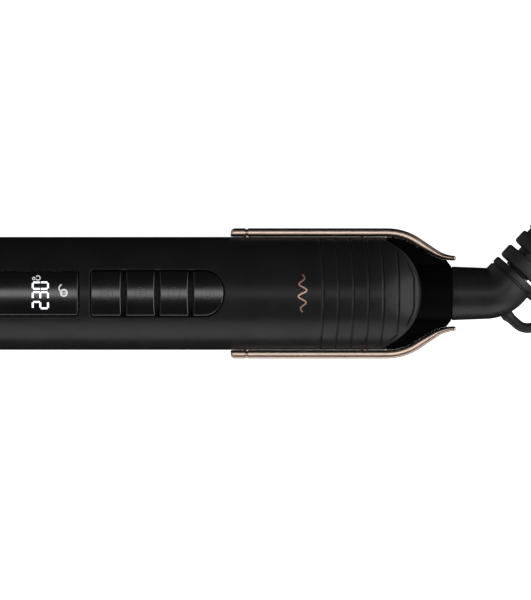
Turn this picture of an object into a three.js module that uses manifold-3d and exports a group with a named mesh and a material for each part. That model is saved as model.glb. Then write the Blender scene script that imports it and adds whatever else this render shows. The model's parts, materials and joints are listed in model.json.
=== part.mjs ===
// A curling iron: a round black handle with a display and four buttons, rose-gold rails along its
// rear, a ribbed nose, a swivelling cord elbow with a strain relief and a hanging loop, and in front
// of the handle a heated barrel with a sprung clamp, a cool tip and a folding wire stand.
//
// Millimetres. +X runs along the handle's axis towards the cord, +Z up, out of the display. The
// origin is on the flat underside of the handle, about midway along the grip.

import * as THREE from "three";
import { mergeVertices } from "three/addons/utils/BufferGeometryUtils.js";
import Module from "manifold-3d";

const wasm = await Module();
wasm.setup();

// -------------------------------------------------------------------------------------------------
// Driving dimensions
// -------------------------------------------------------------------------------------------------

const GAP = 0.3; // between pieces that touch
const SEAM = 0.3; // between the two housing halves

// Handle
const HANDLE_RADIUS = 19;
const HANDLE_WALL = 2.2;
const HANDLE_FRONT = -82;
const TAIL_END = 90;
const FLAT_DEPTH = 1; // how far the underside is cut flat
const FLAT_WALL = 1.2; // of the tail over the flat
const NOSE_DROP = 6; // how far the top line falls towards the nose's end
const NOSE_RUN = 18; // over which length
const NOSE_BACK = 10.2; // from the nose's end to the tail's end

// Ribs
const RIB_PITCH = 5.05;
const RIB_GROOVES = 7;
const RIB_FIRST_BACK = 32.8; // from the first groove to the nose's end
const GROOVE_WIDTH = 0.8;
const GROOVE_DEPTH = 0.6;

// Tail, rails and swivel
const NECK_RADIUS = 9.05;
const TAIL_BOSS_STEP = 0.55; // neck radius to boss radius
const RAIL_THICKNESS = 2.5;
const RAIL_HEIGHT = 6;
const RAIL_FRONT_BACK = 74.1; // from the rail's front end to the tail's end
const RAIL_GAP = 0.4; // between rail and handle
const RAIL_OVERHANG = 1.6; // past the tail's end
const FLANK_TURN = THREE.MathUtils.degToRad(34);
const FLANK_OUTER_RADIUS = 19.7; // of the rail's outward bend
const FLANK_INNER_RADIUS = 10.9; // of the bend back
const TAIL_LIP = 1.5; // from the boss out to the flank at the tail's end
const RAIL_FRONT_CORNER = 1.3;
const PEG_RADIUS = 1.2;
const PEG_PLACES = [5.6, 45]; // behind the rail's front end
const TAIL_END_WALL = 5; // of the bell, in front of the tail's end
const SHAFT_RADIUS = 6;
const SHAFT_STUB = 14.8; // of the swivel's shaft, in front of the tail cap
const SHAFT_BORE_LENGTH = 19;
const SLIP_RING_WIDTH = 3;
const SLIP_RING_PITCH = 5;
const SLIP_RING_FIRST = 2; // from the shaft's front end
const SLIP_RING_STEP = 1.2; // shaft radius to ring radius
const RETAINER_STEP = 1.8; // shaft radius to clip radius
const RETAINER_WIDTH = 1.4;
const BRUSH_HALF_WIDTH = 1.2;
const BRUSH_FLOOR_DROP = 6; // from the shaft's underside
const BRUSH_HOLDER_HALF_WIDTH = 5;
const BRUSH_HOLDER_THICKNESS = 2.2;
const NECK_LENGTH = 12;
const ELBOW_TURN = THREE.MathUtils.degToRad(47.8);
const ELBOW_INNER_RADIUS = 0.9;
const ELBOW_RADIUS = 8.4;
const ELBOW_END_LENGTH = 5.3;
const ELBOW_BORE_LENGTH = 3;

// Strain relief and hanging loop
const RELIEF_START = 1.2; // from the elbow's end to the first ring
const RELIEF_RINGS = 6;
const RELIEF_PITCH = 6.7;
const RELIEF_RING_LENGTH = 4.9;
const RELIEF_RADIUS = 7.75;
const RELIEF_END_RADIUS = 6;
const RELIEF_CORE_RADIUS = 4.6;
const CORD_BORE_RADIUS = 3.4;
const RELIEF_WEB = 3.4;
const RELIEF_WEB_SINK = 0.8; // of the webs below the rings
const LOOP_TUBE_RADIUS = 1.7;
const LOOP_HALF_WIDTH = 5.3;
const LOOP_LEG = 3.4;
const LOOP_ROOT = 3; // of the legs inside the elbow's outline, before the elbow is cut away

// Display and buttons
const DISPLAY_LENGTH = 34.3;
const DISPLAY_HALF_WIDTH = 7.5;
const DISPLAY_FRONT_BACK = 13; // from the handle's front to the display
const DISPLAY_ROUND = 6; // reach of its round end
const PANEL_GAP = 3.8; // between display and buttons
const LENS_THICKNESS = 1.9;
const LENS_DEPTH = 0.1; // of the lens's face below the handle's skin
const BUTTON_PITCH = 11.2;
const BUTTON_SLIT = 1.3;
const BUTTON_COUNT = 4;
const BUTTON_HALF_WIDTH = 7.8;
const BUTTON_THICKNESS = 1.6;
const BUTTON_DEPTH = 0.2; // of the buttons' faces below the handle's skin
const BUTTON_TRAVEL = 0.4;
const STRIP_ROUND = 6.4; // reach of the button row's round end
const STEM_RADIUS = 1.5;
const STEM_PLAY = 0.5; // round a stem in the carrier
const CARRIER_THICKNESS = 1.3;
const CARRIER_BORDER = 2; // past the button row on every side

// Electronics
const BOARD_RISE = 4.4; // underside of the board above the axis
const BOARD_THICKNESS = 1.6;
const BOARD_HALF_WIDTH = 10.5;
const BOARD_END_GAP = 1.3; // to the screw bosses
const BOARD_LIFT = 0.1; // of a part over the board's face
const SWITCH_SIZE = 6;
const SWITCH_HEIGHT = 3.5;
const SWITCH_KNOB = 1; // above the switch's box
const DISPLAY_MODULE_BORDER = 1.5; // inside the display's outline
const DISPLAY_MODULE_GAP = 0.5; // under the lens
const POWER_MODULE = { place: 22, length: 22, halfWidth: 6, height: 8 }; // place: behind the board's front
const ION_GENERATOR = { place: 16, length: 26, halfWidth: 6.5, height: 9 }; // behind the row's front
const FUSE = { place: 45, length: 11, radius: 1.9, across: -10.5, drop: 3 }; // behind the board's front
const LEAD_RADIUS = 0.8;
const LEAD_DROP = 1.2; // of a lead's end under the board
const HEATER_LEAD_HALF = 2.4; // between the barrel's leads, halved
const SUPPLY_LEAD_HALF = 7;
const SCREW_RADIUS = 1.3;
const SCREW_HEAD_HEIGHT = 1.8;
const SCREW_HEAD_SINK = 0.8; // of the shank into the head
const SCREW_SLOT = [4, 0.8, 0.6]; // length, width, depth
const SCREW_REACH = 0.8; // share of the housing's inside radius that the screws reach
const BOSS_RADIUS = 3.2;
const PILLAR_RADIUS = 4.3;
const COUNTERBORE_RADIUS = 3;
const COUNTERBORE_DEPTH = 5;
const PILLAR_TOP_GAP = 0.2; // under the seam

// Barrel, collar and tip
const BARREL_RADIUS = 14;
const BARREL_WALL = 1.1;
const BARREL_LENGTH = 137;
const TRIM_WIDTH = 3.6;
const COLLAR_LENGTH = 26;
const COLLAR_STEP = 0.4; // handle radius to collar radius
const SPIGOT_LENGTH = 2.3; // of the collar in the handle
const SOCKET_DEPTH = 17; // of the barrel in the collar
const COLLAR_TAPER = 0.8; // in radius, over its length
const COLLAR_CHAMFER = 0.8;
const TRIM_STEP = 0.3; // collar radius to trim radius
const CABLE_WAY_WALL = 3.6; // barrel radius to the cable way's radius
const SHIELD_THICKNESS = 3;
const SHIELD_BACK = 2; // behind the barrel
const SHIELD_BORE_RADIUS = 4.6;
const CARRIER_WALL = 1.4; // of the heater's aluminium carrier
const CARRIER_PLAY = 0.5; // inside the barrel
const CARRIER_INSET = [14, 16]; // inside the barrel's front and back ends
const PTC_HALF_WIDTH = 6.5;
const PTC_HALF_HEIGHT = 2.1;
const PTC_INSET = [26, 30]; // inside the barrel's front and back ends
const THERMISTOR = { place: 60, length: 6, radius: 1.1, rise: 5.8 }; // place: in front of the barrel's back
const TIP_RING_WIDTH = 3;
const TIP_RING_STEP = 0.2; // barrel radius to ring radius
const TIP_LENGTH = 20;
const TIP_STEP = 0.2; // barrel radius to tip radius
const TIP_ROUND = 7;
const TIP_WALL = 2.4;
const TIP_SPIGOT_LENGTH = 8; // in the barrel

// Clamp
const BLADE_THICKNESS = 0.9;
const BLADE_SPREAD = THREE.MathUtils.degToRad(62); // to each side of the top
const PIVOT_RISE = 5.4; // of the clamp's pin above the collar
const PIN_RADIUS = 1.2;
const SPRING_WIRE_RADIUS = 0.45;
const LEVER_THICKNESS = 1.4;
const LEVER_LENGTH = 31;
const LEVER_RISE = THREE.MathUtils.degToRad(24);
const LEVER_HALF_WIDTH = 6.4;
const LEVER_STRAP = 26; // on the blade, from the collar's front
const LEVER_FLAT_END = 6; // in front of the collar, where the strap starts to rise
const LEVER_KNEE = 3.6; // in front of the pin, where it stops rising
const CHEEK_RADIUS = 2.6;
const EAR_THICKNESS = 1.6;
const EAR_RADIUS = 3;
const EAR_PLAY = 0.4; // beside the lever
const SADDLE_SPAN = [5, 9]; // in front of the pin and behind it
const SADDLE_SINK = 6; // of the saddle's sides below the collar's top
const SADDLE_TOP = 3.9; // below the pin's axis
const SPRING_TURNS = 3;
const SPRING_INSET = 1.4; // inside the lever's cheeks
const BRACKET_SCREW_BACK = 6; // behind the pin
const BRACKET_SCREW_RADIUS = 1;
const RIVET_PLACES = [22, 12]; // in front of the collar
const RIVET_RADIUS = 1;
const SMALL_HEAD_RADIUS = 1.9; // of the rivets and the bracket's screw
const PIN_HEAD_STEP = 0.7;
const PAD_LENGTH = 22;
const PAD_OVERHANG = 2.6; // past the lever's sides
const PAD_THICKNESS = 2.6;
const PAD_PAST_END = 3; // past the lever's end

// Stand
const STAND_WIRE_RADIUS = 1.1;
const STAND_REACH = 32;
const STAND_DROP_BELOW_AXIS = 4; // of the stand's pivot
const STAND_TOE_IN = 4; // of the wire's ends and its cross bar
const STAND_PLAY = 0.6; // beside the collar and under the barrel
const PIVOT_BACK = 6; // of the clamp's pin, behind the collar's front
const STAND_BACK = 12; // of the stand's pivot, behind the collar's front

// -------------------------------------------------------------------------------------------------
// Places that follow from the dimensions
// -------------------------------------------------------------------------------------------------

const AXIS_HEIGHT = HANDLE_RADIUS - FLAT_DEPTH;
const INNER_RADIUS = HANDLE_RADIUS - HANDLE_WALL;
const NOSE_END = TAIL_END - NOSE_BACK;
const NOSE_CENTRE = NOSE_END - HANDLE_RADIUS;
const SOCKET_RADIUS = SHAFT_RADIUS + GAP;
const TAIL_BOSS_RADIUS = NECK_RADIUS + TAIL_BOSS_STEP;
const RAIL_OUTSIDE = HANDLE_RADIUS + RAIL_GAP + RAIL_THICKNESS;
const RAIL_FRONT = TAIL_END - RAIL_FRONT_BACK;
const RAIL_PEGS = PEG_PLACES.map((back) => RAIL_FRONT + back);
const DISPLAY_FRONT = HANDLE_FRONT + DISPLAY_FRONT_BACK;
const STRIP_FRONT = DISPLAY_FRONT + DISPLAY_LENGTH + PANEL_GAP;
const STRIP_LENGTH = BUTTON_COUNT * BUTTON_PITCH;
const STRIP_END = STRIP_FRONT + STRIP_LENGTH;
const SHAFT_FRONT = flankStart() - SHAFT_STUB;
const FIRST_SCREW = HANDLE_FRONT + SPIGOT_LENGTH + PILLAR_RADIUS + 2 * GAP;
const LAST_SCREW = SHAFT_FRONT - 2 * PILLAR_RADIUS - 1;
const SCREW_XS = [FIRST_SCREW, (STRIP_END + LAST_SCREW) / 2, LAST_SCREW];
const BOARD_FRONT = SCREW_XS[0] + BOSS_RADIUS + BOARD_END_GAP;
const BOARD_END = SCREW_XS[2] - BOSS_RADIUS - BOARD_END_GAP;
const BOARD_TOP = AXIS_HEIGHT + BOARD_RISE + BOARD_THICKNESS;
const SWITCH_TOP = BOARD_TOP + SWITCH_HEIGHT + SWITCH_KNOB;
const TRIM_BACK = HANDLE_FRONT - GAP;
const COLLAR_BACK = TRIM_BACK - TRIM_WIDTH - GAP;
const COLLAR_FRONT = COLLAR_BACK - COLLAR_LENGTH;
const COLLAR_RADIUS = Math.max(HANDLE_RADIUS - COLLAR_STEP, BARREL_RADIUS + 3);
const BARREL_BACK = COLLAR_FRONT + SOCKET_DEPTH;
const BARREL_FRONT = BARREL_BACK - BARREL_LENGTH;
const BARREL_BORE = BARREL_RADIUS - BARREL_WALL;
const PIVOT_X = COLLAR_FRONT + PIVOT_BACK;
const PIVOT_Z = AXIS_HEIGHT + COLLAR_RADIUS + PIVOT_RISE;
const STAND_X = COLLAR_FRONT + STAND_BACK;
const STAND_Z = AXIS_HEIGHT - STAND_DROP_BELOW_AXIS;
const ELBOW_START = TAIL_END + GAP;

// -------------------------------------------------------------------------------------------------
// Solids
// -------------------------------------------------------------------------------------------------

const FAR = 600;

/** A closed three.js geometry as a manifold solid with its faces pointing out. */
function solid(geometry) {
  const bare = geometry.index ? geometry.toNonIndexed() : geometry.clone();
  bare.deleteAttribute("normal");
  bare.deleteAttribute("uv");
  const merged = mergeVertices(bare, 1e-4);
  const source = merged.index.array;
  const triangles = [];
  for (let i = 0; i < source.length; i += 3) {
    const [a, b, c] = [source[i], source[i + 1], source[i + 2]];
    if (a !== b && b !== c && c !== a) triangles.push(a, b, c);
  }
  const vertProperties = new Float32Array(merged.attributes.position.array);
  const made = new wasm.Manifold(
    new wasm.Mesh({ numProp: 3, vertProperties, triVerts: new Uint32Array(triangles) }),
  );
  if (made.volume() >= 0) return made;
  return new wasm.Manifold(
    new wasm.Mesh({ numProp: 3, vertProperties, triVerts: new Uint32Array(triangles.reverse()) }),
  );
}

/** A manifold solid as a three.js geometry. */
function geometryOf(body) {
  const mesh = body.getMesh();
  const positions = new Float32Array(mesh.numVert * 3);
  for (let i = 0; i < mesh.numVert; i++) {
    positions.set(mesh.vertProperties.subarray(i * mesh.numProp, i * mesh.numProp + 3), i * 3);
  }
  const geometry = new THREE.BufferGeometry();
  geometry.setAttribute("position", new THREE.BufferAttribute(positions, 3));
  geometry.setIndex(new THREE.BufferAttribute(new Uint32Array(mesh.triVerts), 1));
  geometry.computeVertexNormals();
  return geometry;
}

const joined = (...bodies) => bodies.reduce((a, b) => a.add(b));
const cut = (body, ...tools) => tools.reduce((a, b) => a.subtract(b), body);

/** A box between two corners. */
function block([x0, y0, z0], [x1, y1, z1]) {
  const box = new THREE.BoxGeometry(x1 - x0, y1 - y0, z1 - z0);
  return solid(box.translate((x0 + x1) / 2, (y0 + y1) / 2, (z0 + z1) / 2));
}

/** A closed profile of [x, radius] points turned round the handle's axis. */
function turned(profile, segments = 32) {
  const points = profile.map(([x, r]) => new THREE.Vector2(r, x));
  const lathe = new THREE.LatheGeometry(points, segments);
  return solid(lathe.rotateZ(-Math.PI / 2).translate(0, 0, AXIS_HEIGHT));
}

/** A plain cylinder on the handle's axis. */
function rod(x0, x1, radius, segments = 32) {
  return turned([[x0, 0], [x0, radius], [x1, radius], [x1, 0]], segments);
}

/** A plain tube on the handle's axis. */
function tube(x0, x1, outer, inner, segments = 32) {
  return turned([[x0, inner], [x0, outer], [x1, outer], [x1, inner], [x0, inner]], segments);
}

/** A cylinder along X, Y or Z with its middle at a point. */
function pin(direction, [x, y, z], length, radius, segments = 16) {
  const cylinder = new THREE.CylinderGeometry(radius, radius, length, segments);
  if (direction === "z") cylinder.rotateX(Math.PI / 2);
  if (direction === "x") cylinder.rotateZ(-Math.PI / 2);
  return solid(cylinder.translate(x, y, z));
}

/** A plan outline in X and Y, extruded upwards. */
function upright(shape, z0, z1, curveSegments = 12) {
  const options = { depth: z1 - z0, bevelEnabled: false, curveSegments };
  return solid(new THREE.ExtrudeGeometry(shape, options).translate(0, 0, z0));
}

/** A side outline in X and Z, extruded across from y0 to y1. */
function across(shape, y0, y1, curveSegments = 16) {
  const options = { depth: y1 - y0, bevelEnabled: false, curveSegments };
  return solid(new THREE.ExtrudeGeometry(shape, options).rotateX(Math.PI / 2).translate(0, y1, 0));
}

/** A cross-section in Y and Z, measured from the handle's axis, extruded along X. */
function lengthwise(shape, x0, x1, curveSegments = 20) {
  const options = { depth: x1 - x0, bevelEnabled: false, curveSegments };
  const axes = new THREE.Matrix4().makeBasis(
    new THREE.Vector3(0, 1, 0),
    new THREE.Vector3(0, 0, 1),
    new THREE.Vector3(1, 0, 0),
  );
  return solid(new THREE.ExtrudeGeometry(shape, options).applyMatrix4(axes).translate(x0, 0, AXIS_HEIGHT));
}

/** A round tube of material along a curve. */
function wire(curve, radius, steps, sides = 8) {
  const section = new THREE.Shape();
  for (let i = 0; i < sides; i++) {
    const angle = (i / sides) * 2 * Math.PI;
    const [x, y] = [radius * Math.cos(angle), radius * Math.sin(angle)];
    if (i === 0) section.moveTo(x, y);
    else section.lineTo(x, y);
  }
  section.closePath();
  return solid(new THREE.ExtrudeGeometry(section, { steps, extrudePath: curve, bevelEnabled: false }));
}

const points3 = (...list) => list.map(([x, y, z]) => new THREE.Vector3(x, y, z));
const above = (z) => block([-FAR, -FAR, z], [FAR, FAR, FAR]);
const below = (z) => block([-FAR, -FAR, -FAR], [FAR, FAR, z]);

/** A filled outline through points. */
function outline(points) {
  return new THREE.Shape(points.map(([x, y]) => new THREE.Vector2(x, y)));
}

// -------------------------------------------------------------------------------------------------
// Materials
// -------------------------------------------------------------------------------------------------

const finish = (color, roughness, metalness) =>
  new THREE.MeshStandardMaterial({ color, roughness, metalness });
const MATERIALS = {
  softTouch: finish(0x161616, 0.55, 0),
  glossBlack: finish(0x08080a, 0.12, 0),
  elbow: finish(0x1a1a1a, 0.4, 0),
  rubber: finish(0x141414, 0.6, 0),
  roseGold: finish(0xe0a890, 0.18, 1),
  coating: finish(0x232326, 0.3, 0.6),
  steel: finish(0xb8b8bc, 0.3, 1),
  brass: finish(0xc9a14a, 0.3, 1),
  aluminium: finish(0xa9abb0, 0.4, 1),
  ceramic: finish(0xd8d4c8, 0.6, 0),
  board: finish(0x1f5a3a, 0.5, 0),
  component: finish(0x2a2c30, 0.5, 0),
  lead: finish(0x7a2c22, 0.5, 0),
};

const curlingIron = new THREE.Group();

/** Adds one named piece. */
function add(name, body, material) {
  const mesh = new THREE.Mesh(geometryOf(body), MATERIALS[material]);
  mesh.name = name;
  curlingIron.add(mesh);
}

// -------------------------------------------------------------------------------------------------
// Handle
// -------------------------------------------------------------------------------------------------

/** The upper housing's form: a round bar with a half-round nose in plan and a falling top line, moved in. */
function upperForm(inset, front, floor) {
  const radius = HANDLE_RADIUS - inset;
  const plan = new THREE.Shape();
  plan.moveTo(front, -radius);
  plan.lineTo(NOSE_CENTRE, -radius);
  plan.absarc(NOSE_CENTRE, 0, radius, -Math.PI / 2, Math.PI / 2);
  plan.lineTo(front, radius);
  plan.closePath();

  const dropRadius = (NOSE_RUN ** 2 + NOSE_DROP ** 2) / (2 * NOSE_DROP);
  const dropStart = NOSE_END - NOSE_RUN;
  const side = new THREE.Shape();
  side.moveTo(front, floor);
  side.lineTo(NOSE_END, floor);
  side.lineTo(NOSE_END, AXIS_HEIGHT + radius - NOSE_DROP);
  const turn = Math.asin(NOSE_RUN / dropRadius);
  const centre = [dropStart, AXIS_HEIGHT + HANDLE_RADIUS - dropRadius];
  side.absarc(centre[0], centre[1], dropRadius - inset, Math.PI / 2 - turn, Math.PI / 2);
  side.lineTo(front, AXIS_HEIGHT + radius);
  side.closePath();

  return rod(front, NOSE_END, radius, 40)
    .intersect(upright(plan, floor, FAR))
    .intersect(across(side, -HANDLE_RADIUS, HANDLE_RADIUS, 8));
}

/** The display's outline: square towards the buttons, half-round towards the barrel. */
function displayOutline(margin) {
  const half = DISPLAY_HALF_WIDTH - margin;
  const straight = DISPLAY_FRONT + DISPLAY_ROUND;
  const shape = new THREE.Shape();
  shape.moveTo(DISPLAY_FRONT + DISPLAY_LENGTH - margin, half);
  shape.lineTo(straight, half);
  shape.absellipse(straight, 0, DISPLAY_ROUND - margin, half, Math.PI / 2, 1.5 * Math.PI);
  shape.lineTo(DISPLAY_FRONT + DISPLAY_LENGTH - margin, -half);
  shape.closePath();
  return shape;
}

/** The button strip's outline: square towards the display, half-round towards the tail. */
function stripOutline(margin) {
  const half = BUTTON_HALF_WIDTH - margin;
  const straight = STRIP_END - STRIP_ROUND;
  const shape = new THREE.Shape();
  shape.moveTo(STRIP_FRONT + margin, -half);
  shape.lineTo(straight, -half);
  shape.absellipse(straight, 0, STRIP_ROUND - margin, half, -Math.PI / 2, Math.PI / 2);
  shape.lineTo(STRIP_FRONT + margin, half);
  shape.closePath();
  return shape;
}

/** A curved plate that follows the handle's skin, with a plan outline. */
function skinPatch(shape, depth, thickness) {
  const outer = HANDLE_RADIUS - depth;
  return tube(HANDLE_FRONT, TAIL_END, outer, outer - thickness, 48).intersect(
    upright(shape, AXIS_HEIGHT, FAR, 10),
  );
}

/** The holes for the rails' pegs, in both housing halves. */
function pegHoles() {
  const length = 3 * HANDLE_RADIUS;
  return joined(...RAIL_PEGS.map((x) => pin("y", [x, 0, AXIS_HEIGHT], length, PEG_RADIUS + GAP, 12)));
}

/** Seven grooves across the grip, each one rib pitch from the next. */
function ribGrooves() {
  const first = NOSE_END - RIB_FIRST_BACK;
  const slabs = Array.from({ length: RIB_GROOVES }, (_, i) => {
    const x = first + i * RIB_PITCH;
    return block([x - GROOVE_WIDTH / 2, -FAR, AXIS_HEIGHT], [x + GROOVE_WIDTH / 2, FAR, FAR]);
  });
  return joined(...slabs).subtract(upperForm(GROOVE_DEPTH, HANDLE_FRONT, AXIS_HEIGHT - 1));
}

/** The housing's upper half, open for the display and the buttons. */
function upperHousing() {
  const seam = AXIS_HEIGHT + SEAM / 2;
  const shell = cut(
    upperForm(0, HANDLE_FRONT, seam),
    upperForm(HANDLE_WALL, HANDLE_FRONT - 1, seam - 1),
  );
  const height = AXIS_HEIGHT + INNER_RADIUS - seam;
  const bosses = SCREW_XS.map((x) => pin("z", [x, 0, seam + height / 2], height, BOSS_RADIUS));
  const length = 2 * SCREW_REACH * INNER_RADIUS;
  const pilots = SCREW_XS.map((x) => pin("z", [x, 0, AXIS_HEIGHT], length, SCREW_RADIUS + GAP, 12));
  return cut(
    joined(shell, ...bosses),
    ...pilots,
    upright(displayOutline(0), AXIS_HEIGHT, FAR, 10),
    upright(stripOutline(0), AXIS_HEIGHT, FAR, 10),
    rod(NOSE_CENTRE, TAIL_END + 1, TAIL_BOSS_RADIUS + GAP),
    pegHoles(),
    ribGrooves(),
  );
}

/** The housing's lower half, with a flat underside and a pillar round each screw. */
function lowerHousing() {
  const seam = AXIS_HEIGHT - SEAM / 2;
  const back = flankStart() - GAP;
  const shell = tube(HANDLE_FRONT, back, HANDLE_RADIUS, INNER_RADIUS, 40).intersect(below(seam));
  const pillarTop = seam - PILLAR_TOP_GAP;
  const pillars = SCREW_XS.map((x) => pin("z", [x, 0, pillarTop / 2], pillarTop, PILLAR_RADIUS, 20));
  const counterbores = SCREW_XS.map((x) => pin("z", [x, 0, 0], 2 * COUNTERBORE_DEPTH, COUNTERBORE_RADIUS));
  const holes = SCREW_XS.map((x) => pin("z", [x, 0, seam / 2], 2 * seam, SCREW_RADIUS + GAP, 12));
  return cut(joined(shell, ...pillars).intersect(above(0)), ...counterbores, ...holes, pegHoles());
}

/** A pan-head screw with a slot, from the counterbore below up into the upper housing's boss. */
function housingScrew(x) {
  const headTop = COUNTERBORE_DEPTH - GAP;
  const headBottom = headTop - SCREW_HEAD_HEIGHT;
  const head = pin("z", [x, 0, (headTop + headBottom) / 2], SCREW_HEAD_HEIGHT, COUNTERBORE_RADIUS - GAP);
  const top = AXIS_HEIGHT + SCREW_REACH * INNER_RADIUS - 2;
  const bottom = headTop - SCREW_HEAD_SINK;
  const shank = pin("z", [x, 0, (top + bottom) / 2], top - bottom, SCREW_RADIUS, 12);
  const [length, width, depth] = SCREW_SLOT;
  const slot = block([x - length / 2, -width / 2, 0], [x + length / 2, width / 2, headBottom + depth]);
  return joined(head, shank).subtract(slot);
}

// -------------------------------------------------------------------------------------------------
// Tail and rails
// -------------------------------------------------------------------------------------------------

/** The straight stretch between the rail's two bends. */
function flankStraight() {
  const bends = (FLANK_OUTER_RADIUS + FLANK_INNER_RADIUS) * (1 - Math.cos(FLANK_TURN));
  const drop = RAIL_OUTSIDE - (TAIL_BOSS_RADIUS + TAIL_LIP + GAP + RAIL_THICKNESS / 2);
  return (drop - bends) / Math.sin(FLANK_TURN);
}

/** Where the rail starts to bend inwards. */
function flankStart() {
  const run =
    (FLANK_OUTER_RADIUS + FLANK_INNER_RADIUS) * Math.sin(FLANK_TURN) + flankStraight() * Math.cos(FLANK_TURN);
  return TAIL_END + RAIL_OVERHANG - run;
}

/** Points of the rail's side line, moved in towards the axis by a distance. */
function flankLine(inset, steps = 6) {
  const line = [];
  const start = flankStart();
  const first = FLANK_OUTER_RADIUS - inset;
  for (let i = 0; i <= steps; i++) {
    const angle = (FLANK_TURN * i) / steps;
    line.push([start + first * Math.sin(angle), RAIL_OUTSIDE - FLANK_OUTER_RADIUS + first * Math.cos(angle)]);
  }
  const second = FLANK_INNER_RADIUS + inset;
  const endX = TAIL_END + RAIL_OVERHANG;
  const centreY = TAIL_BOSS_RADIUS + TAIL_LIP + GAP + RAIL_THICKNESS / 2 + FLANK_INNER_RADIUS;
  for (let i = steps; i >= 0; i--) {
    const angle = (FLANK_TURN * i) / steps;
    line.push([endX - second * Math.sin(angle), centreY - second * Math.cos(angle)]);
  }
  return line;
}

/** One rail, for the side with the given sign. */
function sideRail(sign) {
  const outer = [[RAIL_FRONT + RAIL_FRONT_CORNER, RAIL_OUTSIDE], ...flankLine(0)];
  const inner = [[RAIL_FRONT, RAIL_OUTSIDE - RAIL_THICKNESS], ...flankLine(RAIL_THICKNESS)].reverse();
  const corner = [[RAIL_FRONT, RAIL_OUTSIDE - RAIL_FRONT_CORNER]];
  const plan = [...outer, ...inner, ...corner].map(([x, y]) => [x, sign * y]);
  const half = RAIL_HEIGHT / 2;
  const strip = upright(outline(plan), AXIS_HEIGHT - half, AXIS_HEIGHT + half);
  const pegEnd = INNER_RADIUS + 0.4;
  const pegs = RAIL_PEGS.map((x) => {
    const length = RAIL_OUTSIDE - 1 - pegEnd;
    return pin("y", [x, sign * (pegEnd + length / 2), AXIS_HEIGHT], length, PEG_RADIUS, 10);
  });
  return joined(strip, ...pegs);
}

/** The tail: a bell under a flat deck, with a round boss that the swivel turns in. */
function tailCap() {
  const skin = RAIL_THICKNESS + RAIL_GAP;
  const bell = (inset, front) => {
    const line = flankLine(skin + inset, 5).filter(([x]) => x < TAIL_END - TAIL_LIP);
    const profile = [[front, 0], [front, line[0][1]], ...line.slice(1)];
    profile.push([TAIL_END - TAIL_LIP, line.at(-1)[1]], [TAIL_END, TAIL_BOSS_RADIUS], [TAIL_END, 0]);
    return turned(profile);
  };
  const front = flankStart();
  const deck = AXIS_HEIGHT - SEAM / 2;
  const outer = bell(0, front).intersect(below(deck)).intersect(above(0));
  const hollow = bell(HANDLE_WALL, front - 1)
    .intersect(below(deck - HANDLE_WALL))
    .intersect(block([-FAR, -FAR, FLAT_WALL], [TAIL_END - TAIL_END_WALL, FAR, FAR]));
  const boss = rod(front, TAIL_END, TAIL_BOSS_RADIUS);
  return cut(joined(outer.subtract(hollow), boss), rod(front - 1, TAIL_END + 1, SOCKET_RADIUS, 32));
}

// -------------------------------------------------------------------------------------------------
// Display, buttons and electronics
// -------------------------------------------------------------------------------------------------

const isLast = (i) => i === BUTTON_COUNT - 1;
const buttonFront = (i) => STRIP_FRONT + i * BUTTON_PITCH + (i === 0 ? GAP : BUTTON_SLIT / 2);
const buttonEnd = (i) => STRIP_FRONT + (i + 1) * BUTTON_PITCH - (isLast(i) ? 0 : BUTTON_SLIT / 2);
const buttonCentre = (i) => STRIP_FRONT + (i + 0.5) * BUTTON_PITCH;

/** One button: its share of the curved strip, and a stem that ends above its switch. */
function button(i) {
  const share = block([buttonFront(i), -FAR, -FAR], [buttonEnd(i), FAR, FAR]);
  const cap = skinPatch(stripOutline(GAP), BUTTON_DEPTH, BUTTON_THICKNESS).intersect(share);
  const top = AXIS_HEIGHT + HANDLE_RADIUS - BUTTON_THICKNESS / 2;
  const bottom = SWITCH_TOP + BUTTON_TRAVEL + BOARD_LIFT;
  const stem = pin("z", [buttonCentre(i), 0, (top + bottom) / 2], top - bottom, STEM_RADIUS, 12);
  return joined(cap, stem);
}

/** The tray under the buttons, with a hole for each stem. */
function buttonCarrier() {
  const half = BUTTON_HALF_WIDTH + CARRIER_BORDER;
  const plan = outline([
    [STRIP_FRONT - CARRIER_BORDER, -half],
    [STRIP_END + CARRIER_BORDER, -half],
    [STRIP_END + CARRIER_BORDER, half],
    [STRIP_FRONT - CARRIER_BORDER, half],
  ]);
  const holes = Array.from({ length: BUTTON_COUNT }, (_, i) =>
    pin("z", [buttonCentre(i), 0, BOARD_TOP + INNER_RADIUS], 2 * INNER_RADIUS, STEM_RADIUS + STEM_PLAY, 12),
  );
  return cut(skinPatch(plan, HANDLE_WALL + GAP, CARRIER_THICKNESS), ...holes);
}

/** A square push switch with a round knob, under a button's stem. */
function tactSwitch(i) {
  const x = buttonCentre(i);
  const half = SWITCH_SIZE / 2;
  const base = block([x - half, -half, BOARD_TOP + BOARD_LIFT], [x + half, half, BOARD_TOP + SWITCH_HEIGHT]);
  return joined(base, pin("z", [x, 0, SWITCH_TOP - SWITCH_KNOB], 2 * SWITCH_KNOB, STEM_RADIUS, 12));
}

/** The circuit board, with a hole for the middle screw's boss. */
function controlBoard() {
  const plate = block(
    [BOARD_FRONT, -BOARD_HALF_WIDTH, BOARD_TOP - BOARD_THICKNESS],
    [BOARD_END, BOARD_HALF_WIDTH, BOARD_TOP],
  );
  return plate.subtract(pin("z", [SCREW_XS[1], 0, BOARD_TOP], 10, BOSS_RADIUS + GAP));
}

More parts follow.
